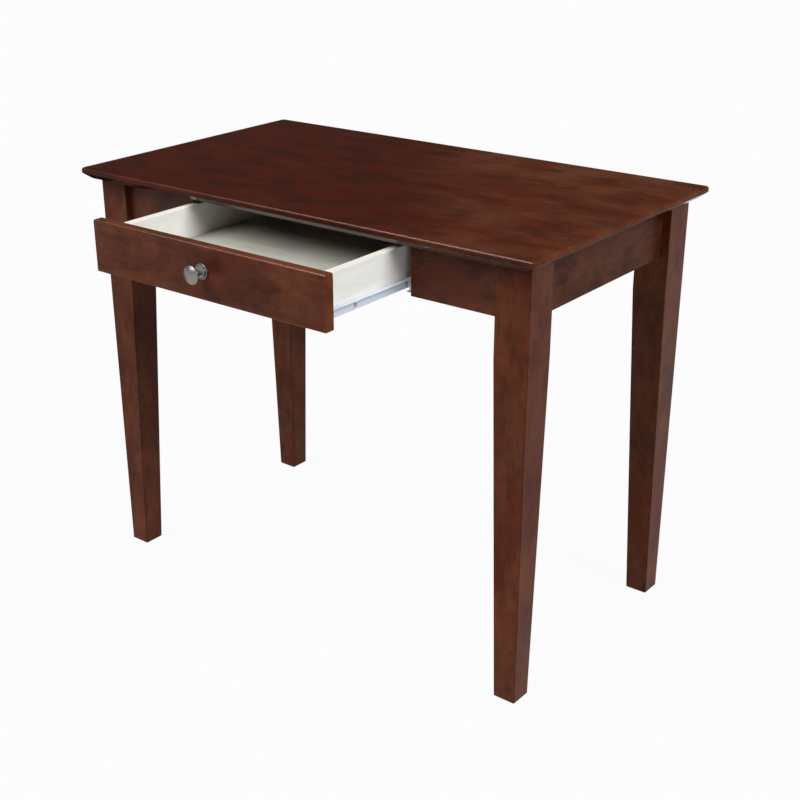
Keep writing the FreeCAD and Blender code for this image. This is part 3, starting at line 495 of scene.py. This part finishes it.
def skin(name, rings, marks, endless):
    """A mesh over one stack of rings of points, or several like stacks: quads between neighbouring rings, and one face
    over each end unless the last ring joins the first. Marks are numbers kept at the points, by name."""
    stacks = rings.reshape(-1, *rings.shape[-3:])
    many, count, around = stacks.shape[:3]
    index = np.arange(count * around).reshape(count, around)
    low, high = (index, np.roll(index, -1, 0)) if endless else (index[:-1], index[1:])
    quads = np.stack([low, np.roll(low, -1, 1), np.roll(high, -1, 1), high], -1).reshape(-1, 4)
    ends = np.stack([index[0, ::-1], index[-1]])
    points = stacks[0].reshape(-1, 3)
    a, b, c, d = points[quads].transpose(1, 0, 2) - points.mean(0)
    if np.einsum("ij,ij->", np.cross(c - a, d - b), a + b + c + d) < 0:
        quads, ends = quads[:, ::-1], ends[:, ::-1]
    offset = np.arange(many)[:, None, None] * index.size
    faces = (quads + offset).reshape(-1, 4).tolist()
    if not endless:
        faces += (ends + offset).reshape(-1, around).tolist()
    mesh = bpy.data.meshes.new(name)
    mesh.from_pydata(stacks.reshape(-1, 3), [], faces)
    mesh.shade_smooth()
    mesh.set_sharp_from_angle(angle=CREASE)
    for mark, values in marks.items():
        attribute = mesh.attributes.new(mark, "FLOAT", "POINT")
        attribute.data.foreach_set("value", np.ascontiguousarray(values, np.float32).ravel())
    if mesh.validate():
        raise RuntimeError(f"{name} has bad faces")
    return mesh


def put(name, data):
    """Puts an object in the scene."""
    made = bpy.data.objects.new(name, data)
    bpy.context.scene.collection.objects.link(made)
    return made


def add_piece(node, kind, rings, finish, slot, endless=False, **marks):
    """Puts a skin over rings of points in place of a CAD node, on that node's body."""
    name = f"{node}_{kind}"
    mesh = skin(name, rings, marks, endless)
    mesh.materials.append(finish)
    piece = put(name, mesh)
    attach(piece, frame["nodes"][node]["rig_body"])
    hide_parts(node)


def dress(finish, *nodes):
    """Gives CAD nodes that keep their own shape a finish."""
    for node in nodes:
        for slot in frame["nodes"][node].material_slots:
            slot.material = finish


# Finishes


def feed(tree, node, inputs):
    """Gives a node's inputs their values, or links them to the outputs that feed them."""
    pairs = inputs.items() if isinstance(inputs, dict) else enumerate(inputs)
    for socket, value in pairs:
        if isinstance(value, bpy.types.NodeSocket):
            tree.links.new(value, node.inputs[socket])
        else:
            node.inputs[socket].default_value = value


def add_node(tree, kind, inputs=(), out=0, **settings):
    """Adds a shader node with its settings and links, and gives one of its outputs."""
    node = tree.nodes.new("ShaderNode" + kind)
    for name, value in settings.items():
        setattr(node, name, value)
    feed(tree, node, inputs)
    return node.outputs[out]


def new_finish(name):
    """An empty material, what adds a node to it, and what feeds its shader."""
    finish = bpy.data.materials.new(name)
    finish.use_nodes = True
    tree = finish.node_tree
    return finish, partial(add_node, tree), partial(feed, tree, tree.nodes["Principled BSDF"])


def grain(add, axis, along, across, detail=2.0, distortion=0.0, shift=0.0):
    """Noise from 0 to 1 whose spots are as long and wide as two real sizes in millimetres, along a grain axis."""
    place = add("TexCoord", out="Object")
    scale = [1 / ((along if i == axis else across) * MM) for i in range(3)]
    spots = add("Mapping", {"Vector": place, "Scale": scale, "Location": (shift, shift, shift)})
    return add("TexNoise", {"Vector": spots, "Scale": 1.0, "Detail": detail, "Distortion": distortion}, "Fac")


def stained_rubberwood(cut, axis, depth, coat, fade=None):
    """Rubberwood, wiped with a red-brown stain and sprayed with satin lacquer. The stain lies in soft clouds from red
    to brown, is thin in orange wisps, pools in dark smudges and a fine mottle, fills the short pores, and is rubbed
    warmer on the edges. A darkening mark adds dark stain along the legs' edges, and painted shade on the desktop's
    front nose; on the desktop the rubbed colour is partly a painted highlight. The lacquer is thick and glossy where
    it ran under an edge. A board takes the stain to its own depth, which may fade along a direction, and has thicker
    or thinner coats of lacquer; the side aprons' greater depth is painted shade."""
    look = bpy.context.scene.desk_wood
    thin_at, pool_at, pore_at = (0.46, 0.74), (0.44, 0.7), (0.62, 0.76)   # noise where each begins and is full
    finish, add, shade = new_finish(f"stained_rubberwood_{cut}")
    clouds = grain(add, axis, 150, 80, detail=4, distortion=0.3)
    smudges = grain(add, axis, 85, 44, detail=4, distortion=0.35, shift=3.7)
    wisps = grain(add, axis, 110, 52, detail=4, distortion=0.3, shift=8.1)
    mottle = grain(add, axis, 18, 11, detail=2, shift=6.2)
    fibre = grain(add, axis, 60, 3.2, detail=1, shift=1.3)
    # real pores are 0.2 mm wide, and are drawn seven times as wide to show at all
    pores = grain(add, axis, 11, 1.4, detail=0, shift=5.3)
    # the darkening mark is painted shade on the desktop's front nose, and darker edges on the legs
    gather, wear, glaze = [add("Attribute", out="Fac", attribute_name=mark) for mark in ("gather", "wear", "glaze")]
    hue = add("MapRange", (clouds, *NARROW, 0.2, 0.8))
    thinnest = 0.55
    if fade:
        way, start, stop, deep, sparse = fade
        place = add("TexCoord", out="Object")
        along = add("VectorMath", (place, way), "Value", operation="DOT_PRODUCT")
        wiped = add("MapRange", (along, start * MM, stop * MM), interpolation_type="SMOOTHSTEP")
        browner = add("Math", (hue, 0.05), operation="ADD")
        hue = add("Math", (browner, wiped), operation="MULTIPLY", use_clamp=True)
        depth = add("MapRange", (wiped, 0.0, 1.0, deep, depth))
        thinnest = add("MapRange", (wiped, 0.0, 1.0, sparse, thinnest))
    stain = add("Mix", {0: hue, 6: look.stain_red, 7: look.stain_brown}, 2, data_type="RGBA")
    thin = add("MapRange", (wisps, *thin_at, 0.0, thinnest))
    pooled_and_shade = add("MapRange", (smudges, *pool_at, 0.03, 0.57))
    spots = add("Math", (fibre, 0.4, mottle), operation="MULTIPLY_ADD")
    spots = add("MapRange", (spots, 0.5, 0.9, -0.18, 0.22))
    # the dark stain also carries painted shade: the darkening on the desktop's front nose, and the side aprons' depth
    for more in (depth, spots, gather):
        pooled_and_shade = add("Math", (pooled_and_shade, more), operation="ADD", use_clamp=more is gather)
    filled = add("MapRange", (pores, *pore_at, 0.0, 0.2))
    uneven = add("MapRange", (smudges, *NARROW, 0.9, 0.35))
    # on the desktop's nose the rubbed colour is partly a painted highlight along the front edge
    rubbed_and_highlight = add("Math", (wear, uneven), operation="MULTIPLY")
    layers = (thin, look.stain_light), (pooled_and_shade, look.stain_dark_and_shade), (filled, look.pore), (rubbed_and_highlight, look.stain_worn_and_highlight)
    for amount, tint in layers:
        stain = add("Mix", {0: amount, 6: stain, 7: tint}, 2, data_type="RGBA")
    gloss = add("MapRange", (wisps, *WIDE, look.satin - 0.02, look.satin + 0.05))
    height = add("Math", (filled, -1.2, fibre), operation="MULTIPLY_ADD")
    bump = add("Bump", {"Height": height, "Distance": 0.01 * MM})
    gloss = add("MapRange", (glaze, 0.0, 1.0, gloss, look.run_gloss))
    mirror = add("MapRange", (glaze, 0.0, 1.0, look.lacquer * coat, look.glaze))
    shade({"Base Color": stain, "Roughness": gloss, "Normal": bump, "Specular IOR Level": mirror})
    return finish


def plain_rubberwood(axis):
    """Planed rubberwood with no finish: pale straw bands of growth, fine pores, and a dry matt face."""
    look = bpy.context.scene.desk_wood
    finish, add, shade = new_finish(f"plain_rubberwood_{'xyz'[axis]}")
    bands = grain(add, axis, 160, 7, detail=3, distortion=0.6)
    pores = grain(add, axis, 10, 0.8, shift=2.9)
    growth = add("MapRange", (bands, *WIDE))
    wood = add("Mix", {0: growth, 6: look.plain_light, 7: look.plain_dark}, 2, data_type="RGBA")
    open_pores = add("MapRange", (pores, 0.6, 0.75, 0.0, 0.4))
    wood = add("Mix", {0: open_pores, 6: wood, 7: look.plain_dark}, 2, data_type="RGBA")
    dry = add("MapRange", (bands, *WIDE, 0.6, 0.75))
    height = add("Math", (open_pores, -2.0, bands), operation="MULTIPLY_ADD")
    bump = add("Bump", {"Height": height, "Distance": 0.08 * MM})
    shade({"Base Color": wood, "Roughness": dry, "Normal": bump, "Specular IOR Level": 0.3})
    return finish


def white_drawer_board(cut, axis, white, grey):
    """Thin ply under a white primer coat: grey drifts of grain show through, and the upper edges that were left
    uncoated are cream."""
    look = bpy.context.scene.desk_wood
    finish, add, shade = new_finish(f"white_drawer_board_{cut}")
    drifts = grain(add, axis, 85, 22, detail=3, distortion=0.5)
    fibre = grain(add, axis, 40, 1.4, detail=2, shift=4.4)
    tone = add("Math", (fibre, 0.25, drifts), operation="MULTIPLY_ADD")
    tone = add("MapRange", (tone, 0.45, 0.8))
    coat = add("Mix", {0: tone, 6: white, 7: grey}, 2, data_type="RGBA")
    bare = add("Attribute", out="Fac", attribute_name="raw")
    coat = add("Mix", {0: bare, 6: coat, 7: look.board_raw}, 2, data_type="RGBA")
    dull = add("MapRange", (drifts, *WIDE, 0.42, 0.55))
    bump = add("Bump", {"Height": fibre, "Distance": 0.03 * MM})
    shade({"Base Color": coat, "Roughness": dull, "Normal": bump, "Specular IOR Level": 0.3})
    return finish


def epoxy_coated_steel():
    """Rolled steel under a baked epoxy coat: smooth cool white with the coat's faint orange peel, grey metal where the
    strip was sheared, and a greyer web between the folds, which is painted shade under the upper flange."""
    look = bpy.context.scene.desk_metal
    finish, add, shade = new_finish("epoxy_coated_steel")
    peel = grain(add, Y, 2.2, 2.2, detail=1)
    smears = grain(add, Y, 60, 8, detail=2)
    satin = add("MapRange", (smears, *WIDE, 0.28, 0.42))
    bump = add("Bump", {"Height": peel, "Distance": 0.04 * MM})
    # sheared edges show grey steel; the web's half share is painted shade under the flange
    bare = add("Attribute", out="Fac", attribute_name="thin")
    coat = add("Mix", {0: bare, 6: look.coating, 7: look.sheared_steel_and_shade}, 2, data_type="RGBA")
    shade({"Base Color": coat, "Roughness": satin, "Normal": bump})
    return finish


def zinc_plated_steel():
    """Zinc-plated steel: a pale bluish metal with a soft patchwork of brighter and duller plating."""
    look = bpy.context.scene.desk_metal
    finish, add, shade = new_finish("zinc_plated_steel")
    patches = grain(add, Z, 1.5, 1.5, detail=3)
    dull = add("MapRange", (patches, *NARROW))
    tint = add("Mix", {0: dull, 6: look.zinc, 7: look.zinc_dull}, 2, data_type="RGBA")
    satin = add("MapRange", (patches, *NARROW, 0.38, 0.52))
    shade({"Base Color": tint, "Roughness": satin, "Metallic": 1.0})
    return finish


def moulded_nylon():
    """Moulded nylon: a milky white with a waxy sheen and a faint scuffed tread."""
    look = bpy.context.scene.desk_metal
    finish, add, shade = new_finish("moulded_nylon")
    scuffs = grain(add, X, 0.7, 3.0, detail=2)
    waxy = add("MapRange", (scuffs, *WIDE, 0.36, 0.52))
    bump = add("Bump", {"Height": scuffs, "Distance": 0.02 * MM})
    shade({"Base Color": look.nylon, "Roughness": waxy, "Normal": bump})
    return finish


def satin_nickel(centre):
    """Nickel plate brushed on a lathe: a warm grey metal with fine rings about the knob's axis."""
    look = bpy.context.scene.desk_metal
    finish, add, shade = new_finish("satin_nickel")
    place = add("TexCoord", out="Object")
    away = add("VectorMath", (place, (centre[X], 0, centre[Z])), operation="SUBTRACT")
    flat = add("VectorMath", (away, (1, 0, 1)), operation="MULTIPLY")
    radius = add("VectorMath", (flat,), "Value", operation="LENGTH")
    depth = add("SeparateXYZ", (place,), Y)
    across = add("Math", (radius, depth), operation="ADD")
    # brush lines are about 0.1 mm apart, and are drawn 0.5 mm apart to show at all
    rings = add("TexNoise", {"W": across, "Scale": 1 / (0.5 * MM), "Detail": 2.0}, "Fac",
                     noise_dimensions="1D")
    satin = add("MapRange", (rings, *WIDE, 0.34, 0.48))
    bump = add("Bump", {"Height": rings, "Distance": 0.015 * MM})
    shade({"Base Color": look.nickel, "Roughness": satin, "Normal": bump, "Metallic": 1.0})
    return finish


# Operators, in the order in which the desk is put together


class DESK_OT_desktop(bpy.types.Operator):
    """Makes the desktop with its rounded nose and bevelled edge"""
    bl_idname = "desk.desktop"
    bl_label = "Desktop"

    def execute(self, context):
        rings, marks = desktop_board(*box("desktop"), context.scene.desk_top, context.scene.desk_wood)
        finish = stained_rubberwood("top", X, depth=0.07, coat=0.6, fade=TOP_FADE)
        add_piece("desktop", "board", rings, finish, "stained_wood", **marks)
        return {"FINISHED"}


class DESK_OT_legs(bpy.types.Operator):
    """Makes the four tapered legs"""
    bl_idname = "desk.legs"
    bl_label = "Legs"

    def execute(self, context):
        look = context.scene.desk_wood
        finish = stained_rubberwood("leg", Z, depth=0.03, coat=1.1)
        for end, sy in ENDS.items():
            for side, sx in SIDES.items():
                node = f"leg_{end}_{side}"
                low, high = box(node)
                sign = np.array([sx, sy])
                outer = np.where(sign > 0, high[:2], low[:2])
                rings, wear = tapered_post(outer, -sign, high[X] - low[X], context.scene.desk_leg, high[Z])
                # darker along the rounded edges and the foot's chamfer
                add_piece(node, "post", rings, finish, "stained_wood", gather=wear * look.leg_edge_darkening)
        return {"FINISHED"}


class DESK_OT_aprons(bpy.types.Operator):
    """Makes the front rails, the side aprons and the back apron"""
    bl_idname = "desk.aprons"
    bl_label = "Rails and aprons"

    def execute(self, context):
        look = context.scene.desk_wood
        boards = {"back_apron": X}
        for side in SIDES:
            boards[f"front_rail_{side}"] = X
            boards[f"side_apron_{side}"] = Y
        finishes = {
            X: stained_rubberwood("rail", X, depth=0.27, coat=2.0),
            # the side aprons' stain is taken deeper as painted shade under the desktop's overhang
            Y: stained_rubberwood("apron", Y, depth=0.42, coat=0.65),
        }
        for node, axis in boards.items():
            rings, wear = eased_board(*box(node), axis, context.scene.desk_frame.easing)
            add_piece(node, "board", rings, finishes[axis], "stained_wood", wear=wear * look.board_wear)
        return {"FINISHED"}


class DESK_OT_inner_frame(bpy.types.Operator):
    """Finishes the drawer supports, corner blocks and dowels under the desktop"""
    bl_idname = "desk.inner_frame"
    bl_label = "Inner frame"

    def execute(self, context):
        dress(plain_rubberwood(Y), *[f"drawer_support_{side}" for side in SIDES])
        dress(plain_rubberwood(X), *[f"corner_block_{end}_{side}" for end in ENDS for side in SIDES], "frame_dowels")
        return {"FINISHED"}


class DESK_OT_fasteners(bpy.types.Operator):
    """Makes the screws with their cross-slotted heads, and finishes the bolts, washers, nuts and pins"""
    bl_idname = "desk.fasteners"
    bl_label = "Fasteners"

    def execute(self, context):
        zinc = zinc_plated_steel()
        dress(zinc, "leg_bolts", "leg_bolt_washers", "leg_bolt_nuts", "cabinet_roller_pins", "drawer_roller_pins")
        screws = {"desktop_screws": Z, "cabinet_slide_screws": X, "drawer_slide_screws": X, "drawer_front_screws": Y,
                  "knob_screw": Y}
        for node, axis in screws.items():
            reach = np.where(np.arange(3) == axis, SCREW_LENGTH, SCREW_GAP)
            rings = np.stack([pan_head_screw(points, axis) for points in loose_parts(node, reach)])
            add_piece(node, "set", rings, zinc, "zinc_steel")
        return {"FINISHED"}


class DESK_OT_drawer_front(bpy.types.Operator):
    """Makes the drawer front with its eased edges"""
    bl_idname = "desk.drawer_front"
    bl_label = "Drawer front"

    def execute(self, context):
        sizes, look = context.scene.desk_drawer, context.scene.desk_wood
        low, high = box("drawer_front")
        rings, wear = eased_board(low, high, Y, sizes.front_easing, sizes.front_corner, far_ease=sizes.front_back)
        behind = rings[..., Y] > low[Y] + sizes.front_easing
        wear = np.maximum(wear * look.front_wear, behind * look.rim_wear)
        finish = stained_rubberwood("front", X, depth=0.19, coat=1.3)
        add_piece("drawer_front", "panel", rings, finish, "stained_wood", wear=wear)
        return {"FINISHED"}


class DESK_OT_drawer_box(bpy.types.Operator):
    """Makes the white drawer box: grooved sides, front and back, and the bottom in their grooves"""
    bl_idname = "desk.drawer_box"
    bl_label = "Drawer box"

    def execute(self, context):
        sizes, look = context.scene.desk_drawer, context.scene.desk_wood
        panel_low, panel_high = box("drawer_bottom")
        levels = (panel_low[Z] - sizes.groove_room, panel_high[Z] + sizes.groove_room)
        grooved = {"drawer_box_front": (X, 1, Y), "drawer_box_back": (X, -1, Y)}
        for side, sx in SIDES.items():
            grooved[f"drawer_side_{side}"] = (Y, -sx, X)
        finishes = {axis: white_drawer_board(cut, axis, look.board_white, look.board_grey)
                    for axis, cut in ((X, "end"), (Y, "side"))}
        for node, (axis, sign, face) in grooved.items():
            low, high = box(node)
            groove = (sign, face, Z, *levels, sizes.groove_depth)
            rings = eased_board(low, high, axis, sizes.board_easing, groove=groove)[0]
            inner = sign * (rings[..., face] - (low + high)[face] / 2) > 0
            on_top = rings[..., Z] > high[Z] - 0.9 * sizes.board_easing
            add_piece(node, "board", rings, finishes[axis], "white_wood", raw=inner & on_top)
        rings = eased_board(panel_low, panel_high, X, sizes.board_easing)[0]
        finish = white_drawer_board("panel", X, look.panel_white, look.panel_grey)
        add_piece("drawer_bottom", "panel", rings, finish, "white_wood")
        return {"FINISHED"}


class DESK_OT_slides(bpy.types.Operator):
    """Makes the folded steel slides and their nylon rollers"""
    bl_idname = "desk.slides"
    bl_label = "Slides"

    def execute(self, context):
        sizes = context.scene.desk_slide
        steel, nylon = epoxy_coated_steel(), moulded_nylon()
        middle = sizes.gauge / 2
        for side, sx in SIDES.items():
            drawer_wall = box(f"drawer_side_{side}")[sx > 0][X] + sx * middle
            for member in ("drawer", "cabinet"):
                node = f"{member}_slide_{side}"
                low, high = box(node)
                inner, outer = (low[X], high[X]) if sx > 0 else (high[X], low[X])
                wall, end = drawer_wall, outer
                if member == "cabinet":
                    wall, end = outer - sx * middle, outer - sx * sizes.cabinet_lip
                floor, top = low[Z] + middle, high[Z] - middle
                path = [(inner, floor), (wall, floor), (wall, top), (end, top)]
                rings, thin = folded_strip(path, sizes.gauge, sizes.bend, low[Y], high[Y])
                # the thin mark greys the web as painted shade under the flange
                add_piece(node, "strip", rings, steel, "coated_steel", thin=thin)
            for member in ("cabinet", "drawer"):
                node = f"{member}_roller_{side}"
                add_piece(node, "wheel", self.wheel(*box(node), sizes), nylon, "nylon", endless=True)
        return {"FINISHED"}

    def wheel(self, low, high, sizes):
        """A roller: a closed profile round its bore, with a dished face on either side and a rounded tread."""
        half, radius = (high - low)[X] / 2, (high - low)[Z] / 2
        hub, web, dish, edge = 0.52 * radius, 0.82 * radius, 0.25 * half, sizes.roller_edge
        t = np.linspace(0, np.pi / 2, ARC_STEPS)
        tread = np.stack([radius - edge * (1 - np.sin(t)), half - edge * (1 - np.cos(t))], -1)
        face = np.array([(sizes.roller_bore, half), (hub, half), (hub + dish, half - dish), (web - dish, half - dish),
                         (web, half)])
        side = np.concatenate([face, tread])
        profile = np.concatenate([side, side[::-1] * (1, -1)])
        return turned(profile, (low + high) / 2, X, SMALL_TURN)


class DESK_OT_knob(bpy.types.Operator):
    """Makes the turned knob"""
    bl_idname = "desk.knob"
    bl_label = "Knob"

    def execute(self, context):
        sizes = context.scene.desk_knob
        low, high = box("knob")
        cap, reach = (high[X] - low[X]) / 2, high[Y] - low[Y]
        rim_top = reach - sizes.cap_dome
        rim_low = rim_top - sizes.cap_rim
        ring_top = sizes.base_height + sizes.ring_height
        rim, floor = sizes.base - sizes.base_rim, sizes.base_height - sizes.groove
        corners = np.array([
            (sizes.base, 0), (sizes.base, sizes.base_height), (rim, sizes.base_height), (rim, floor),
            (sizes.ring, floor), (sizes.ring, ring_top), (sizes.neck, ring_top),
            (sizes.neck, ring_top + sizes.neck_length), (sizes.flare, rim_low - sizes.cap_under), (cap, rim_low),
            (cap, rim_top), (cap * 0.99, rim_top + 0.05 * sizes.cap_dome),   # the last one only leads into the dome
        ])
        radii = sizes.rounding * np.array([0.6, 0.6, 0.5, 0.5, 1, 0.5, 4, 3, 0.9, 0.9])   # one for each inner corner
        stem = rounded_path(corners, radii)[0]
        ball = (cap ** 2 + sizes.cap_dome ** 2) / (2 * sizes.cap_dome)
        first, last = 0.16, np.pi / 2 - 0.01   # angles of the dome's widest and narrowest rows
        widths = cap * np.cos(np.linspace(first, last, 14))
        dome = np.stack([widths, reach - ball + np.sqrt(ball ** 2 - widths ** 2)], -1)
        profile = np.concatenate([stem[:-1], dome]) * (1, -1)
        middle = np.array([(low + high)[X] / 2, high[Y], (low + high)[Z] / 2])
        add_piece("knob", "turning", turned(profile, middle, Y, KNOB_TURN), satin_nickel(middle), "nickel")
        return {"FINISHED"}


class DESK_OT_stage(bpy.types.Operator):
    """Makes the pale floor, the soft studio light, a dark card and the camera at the photograph's angle"""
    bl_idname = "desk.stage"
    bl_label = "Stage"

    def execute(self, context):
        settings = context.scene.desk_stage
        self.floor(settings)
        context.scene.world = self.sky(settings)
        self.lamps(settings)
        self.flag(settings)
        context.scene.camera = self.camera(settings)
        context.scene.view_settings.view_transform = "Standard"
        return {"FINISHED"}

    def floor(self, settings):
        """A level disc. Seen directly or in a reflection it is mostly its own colour at full strength, so that it fades
        into the backdrop, and the rest is lit, which keeps the desk's shadow. From below it isn't seen."""
        rings = turned(np.array(FLOOR_RINGS), np.zeros(3), Z, FLOOR_TURN)
        inner = np.arange(FLOOR_TURN)
        pairs = np.stack([inner, np.roll(inner, -1)], -1)
        faces = np.concatenate([pairs + FLOOR_TURN, pairs[:, ::-1]], 1).tolist() + [inner.tolist()]
        mesh = bpy.data.meshes.new("floor")
        mesh.from_pydata(rings.reshape(-1, 3), [], faces)
        finish, add = new_finish("pale_painted_floor")[:2]
        tree = finish.node_tree
        tree.nodes.remove(tree.nodes["Principled BSDF"])
        seen = 0.0
        for ray in ("Camera", "Glossy", "Transmission"):
            seen = add("Math", (seen, add("LightPath", out=f"Is {ray} Ray")), operation="MAXIMUM")
        amount = add("Math", (seen, FLOOR_SHARE), operation="MULTIPLY")
        paint = add("BsdfDiffuse", {"Color": settings.floor})
        plain = add("Emission", {"Color": (1, 1, 1, 1), "Strength": 1.0})
        above = add("MixShader", (amount, paint, plain))
        back = add("NewGeometry", out="Backfacing")
        both = add("MixShader", (back, above, add("BsdfTransparent")))
        feed(tree, tree.nodes["Material Output"], {"Surface": both})
        mesh.materials.append(finish)
        floor = put("floor", mesh)

    def sky(self, settings):
        """Pale at the horizon, dim over that, and a soft white ceiling overhead."""
        world = bpy.data.worlds.new("studio")
        world.use_nodes = True
        tree = world.node_tree
        add = partial(add_node, tree)
        rise = add("SeparateXYZ", (add("TexCoord", out="Generated"),), Z)
        wall = add("MapRange", (rise, *HORIZON, 1.0, DIM_SKY))
        ceiling = add("MapRange", (rise, *OVERHEAD, 0.0, settings.ceiling))
        level = add("Math", (wall, ceiling), operation="MAXIMUM")
        feed(tree, tree.nodes["Background"], {"Color": settings.backdrop, "Strength": level})
        return world

    def lamps(self, settings):
        """A broad key from the upper front, a broad light from the right, and a long strip lamp overhead on the left,
        which is seen only as a thin line of light along the front edges of the desktop and drawer front."""
        for name, (way, spread) in SUNS.items():
            lamp = bpy.data.lights.new(name, "SUN")
            lamp.energy, lamp.angle = getattr(settings, name), math.radians(spread)
            sun = put(name, lamp)
            sun.rotation_mode = "QUATERNION"
            sun.rotation_quaternion = Vector(way).to_track_quat("Z", "Y")
        lamp = bpy.data.lights.new("strip", "AREA")
        lamp.shape = "RECTANGLE"
        lamp.size, lamp.size_y = STRIP_SIZE
        lamp.energy = settings.strip
        strip = put("strip", lamp)
        strip.location = STRIP_PLACE
        strip.visible_diffuse = False
        edged = bpy.data.collections.new("edged_boards")
        for name in ("desktop_board", "drawer_front_panel"):
            edged.objects.link(bpy.data.objects[name])
        strip.light_linking.receiver_collection = edged

    def flag(self, settings):
        """A dark card on the floor to the left of the desk, seen in reflections alone, which keeps the white floor out
        of the bevel at the desktop's front left corner."""
        left, right = FLAG_X
        near, far = FLAG_Y
        mesh = bpy.data.meshes.new("flag")
        mesh.from_pydata([(left, near, MM), (right, near, MM), (right, far, MM), (left, far, MM)], [], [(0, 1, 2, 3)])
        # black felt: soaks up the light, so that a mirror-like coat shows its own colour there
        finish, _, shade = new_finish("black_felt")
        shade({"Base Color": settings.flag, "Roughness": 1.0, "Specular IOR Level": 0.0})
        mesh.materials.append(finish)
        card = put("flag", mesh)
        card.visible_camera = card.visible_diffuse = card.visible_transmission = card.visible_shadow = False

    def camera(self, settings):
        """The photograph's view: where the camera stood, the point it was aimed at, and its slight roll."""
        lens = bpy.data.cameras.new("camera")
        lens.sensor_width = FILM
        lens.lens = settings.lens / MM
        lens.shift_x, lens.shift_y = SHIFT
        camera = put("camera", lens)
        turn = (AIM - EYE).to_track_quat("-Z", "Y").to_matrix().to_4x4() @ Matrix.Rotation(ROLL, 4, "Z")
        camera.matrix_world = Matrix.Translation(EYE) @ turn
        return camera


class DESK_PT_panel(bpy.types.Panel):
    """The desk's pieces in the sidebar"""
    bl_idname = "DESK_PT_panel"
    bl_label = "Writing desk"
    bl_space_type = "VIEW_3D"
    bl_region_type = "UI"
    bl_category = "Desk"

    def draw(self, context):
        for operator in OPERATORS:
            self.layout.operator(operator.bl_idname)


OPERATORS = (DESK_OT_desktop, DESK_OT_legs, DESK_OT_aprons, DESK_OT_inner_frame, DESK_OT_drawer_front,
             DESK_OT_drawer_box, DESK_OT_slides, DESK_OT_knob, DESK_OT_fasteners, DESK_OT_stage)
SETTINGS = {
    "desk_top": DesktopSizes,
    "desk_leg": LegSizes,
    "desk_frame": FrameSizes,
    "desk_drawer": DrawerSizes,
    "desk_slide": SlideSizes,
    "desk_knob": KnobSizes,
    "desk_wood": WoodColours,
    "desk_metal": MetalColours,
    "desk_stage": StageSettings,
}
CLASSES = (*SETTINGS.values(), *OPERATORS, DESK_PT_panel)


def register():
    for made in CLASSES:
        bpy.utils.register_class(made)
    for name, group in SETTINGS.items():
        setattr(bpy.types.Scene, name, PointerProperty(type=group))


def unregister():
    for name in SETTINGS:
        delattr(bpy.types.Scene, name)
    for made in reversed(CLASSES):
        bpy.utils.unregister_class(made)


def main():
    register()
    for operator in OPERATORS:
        group, name = operator.bl_idname.split(".")
        getattr(getattr(bpy.ops, group), name)()


if __name__ == "__main__":
    main()
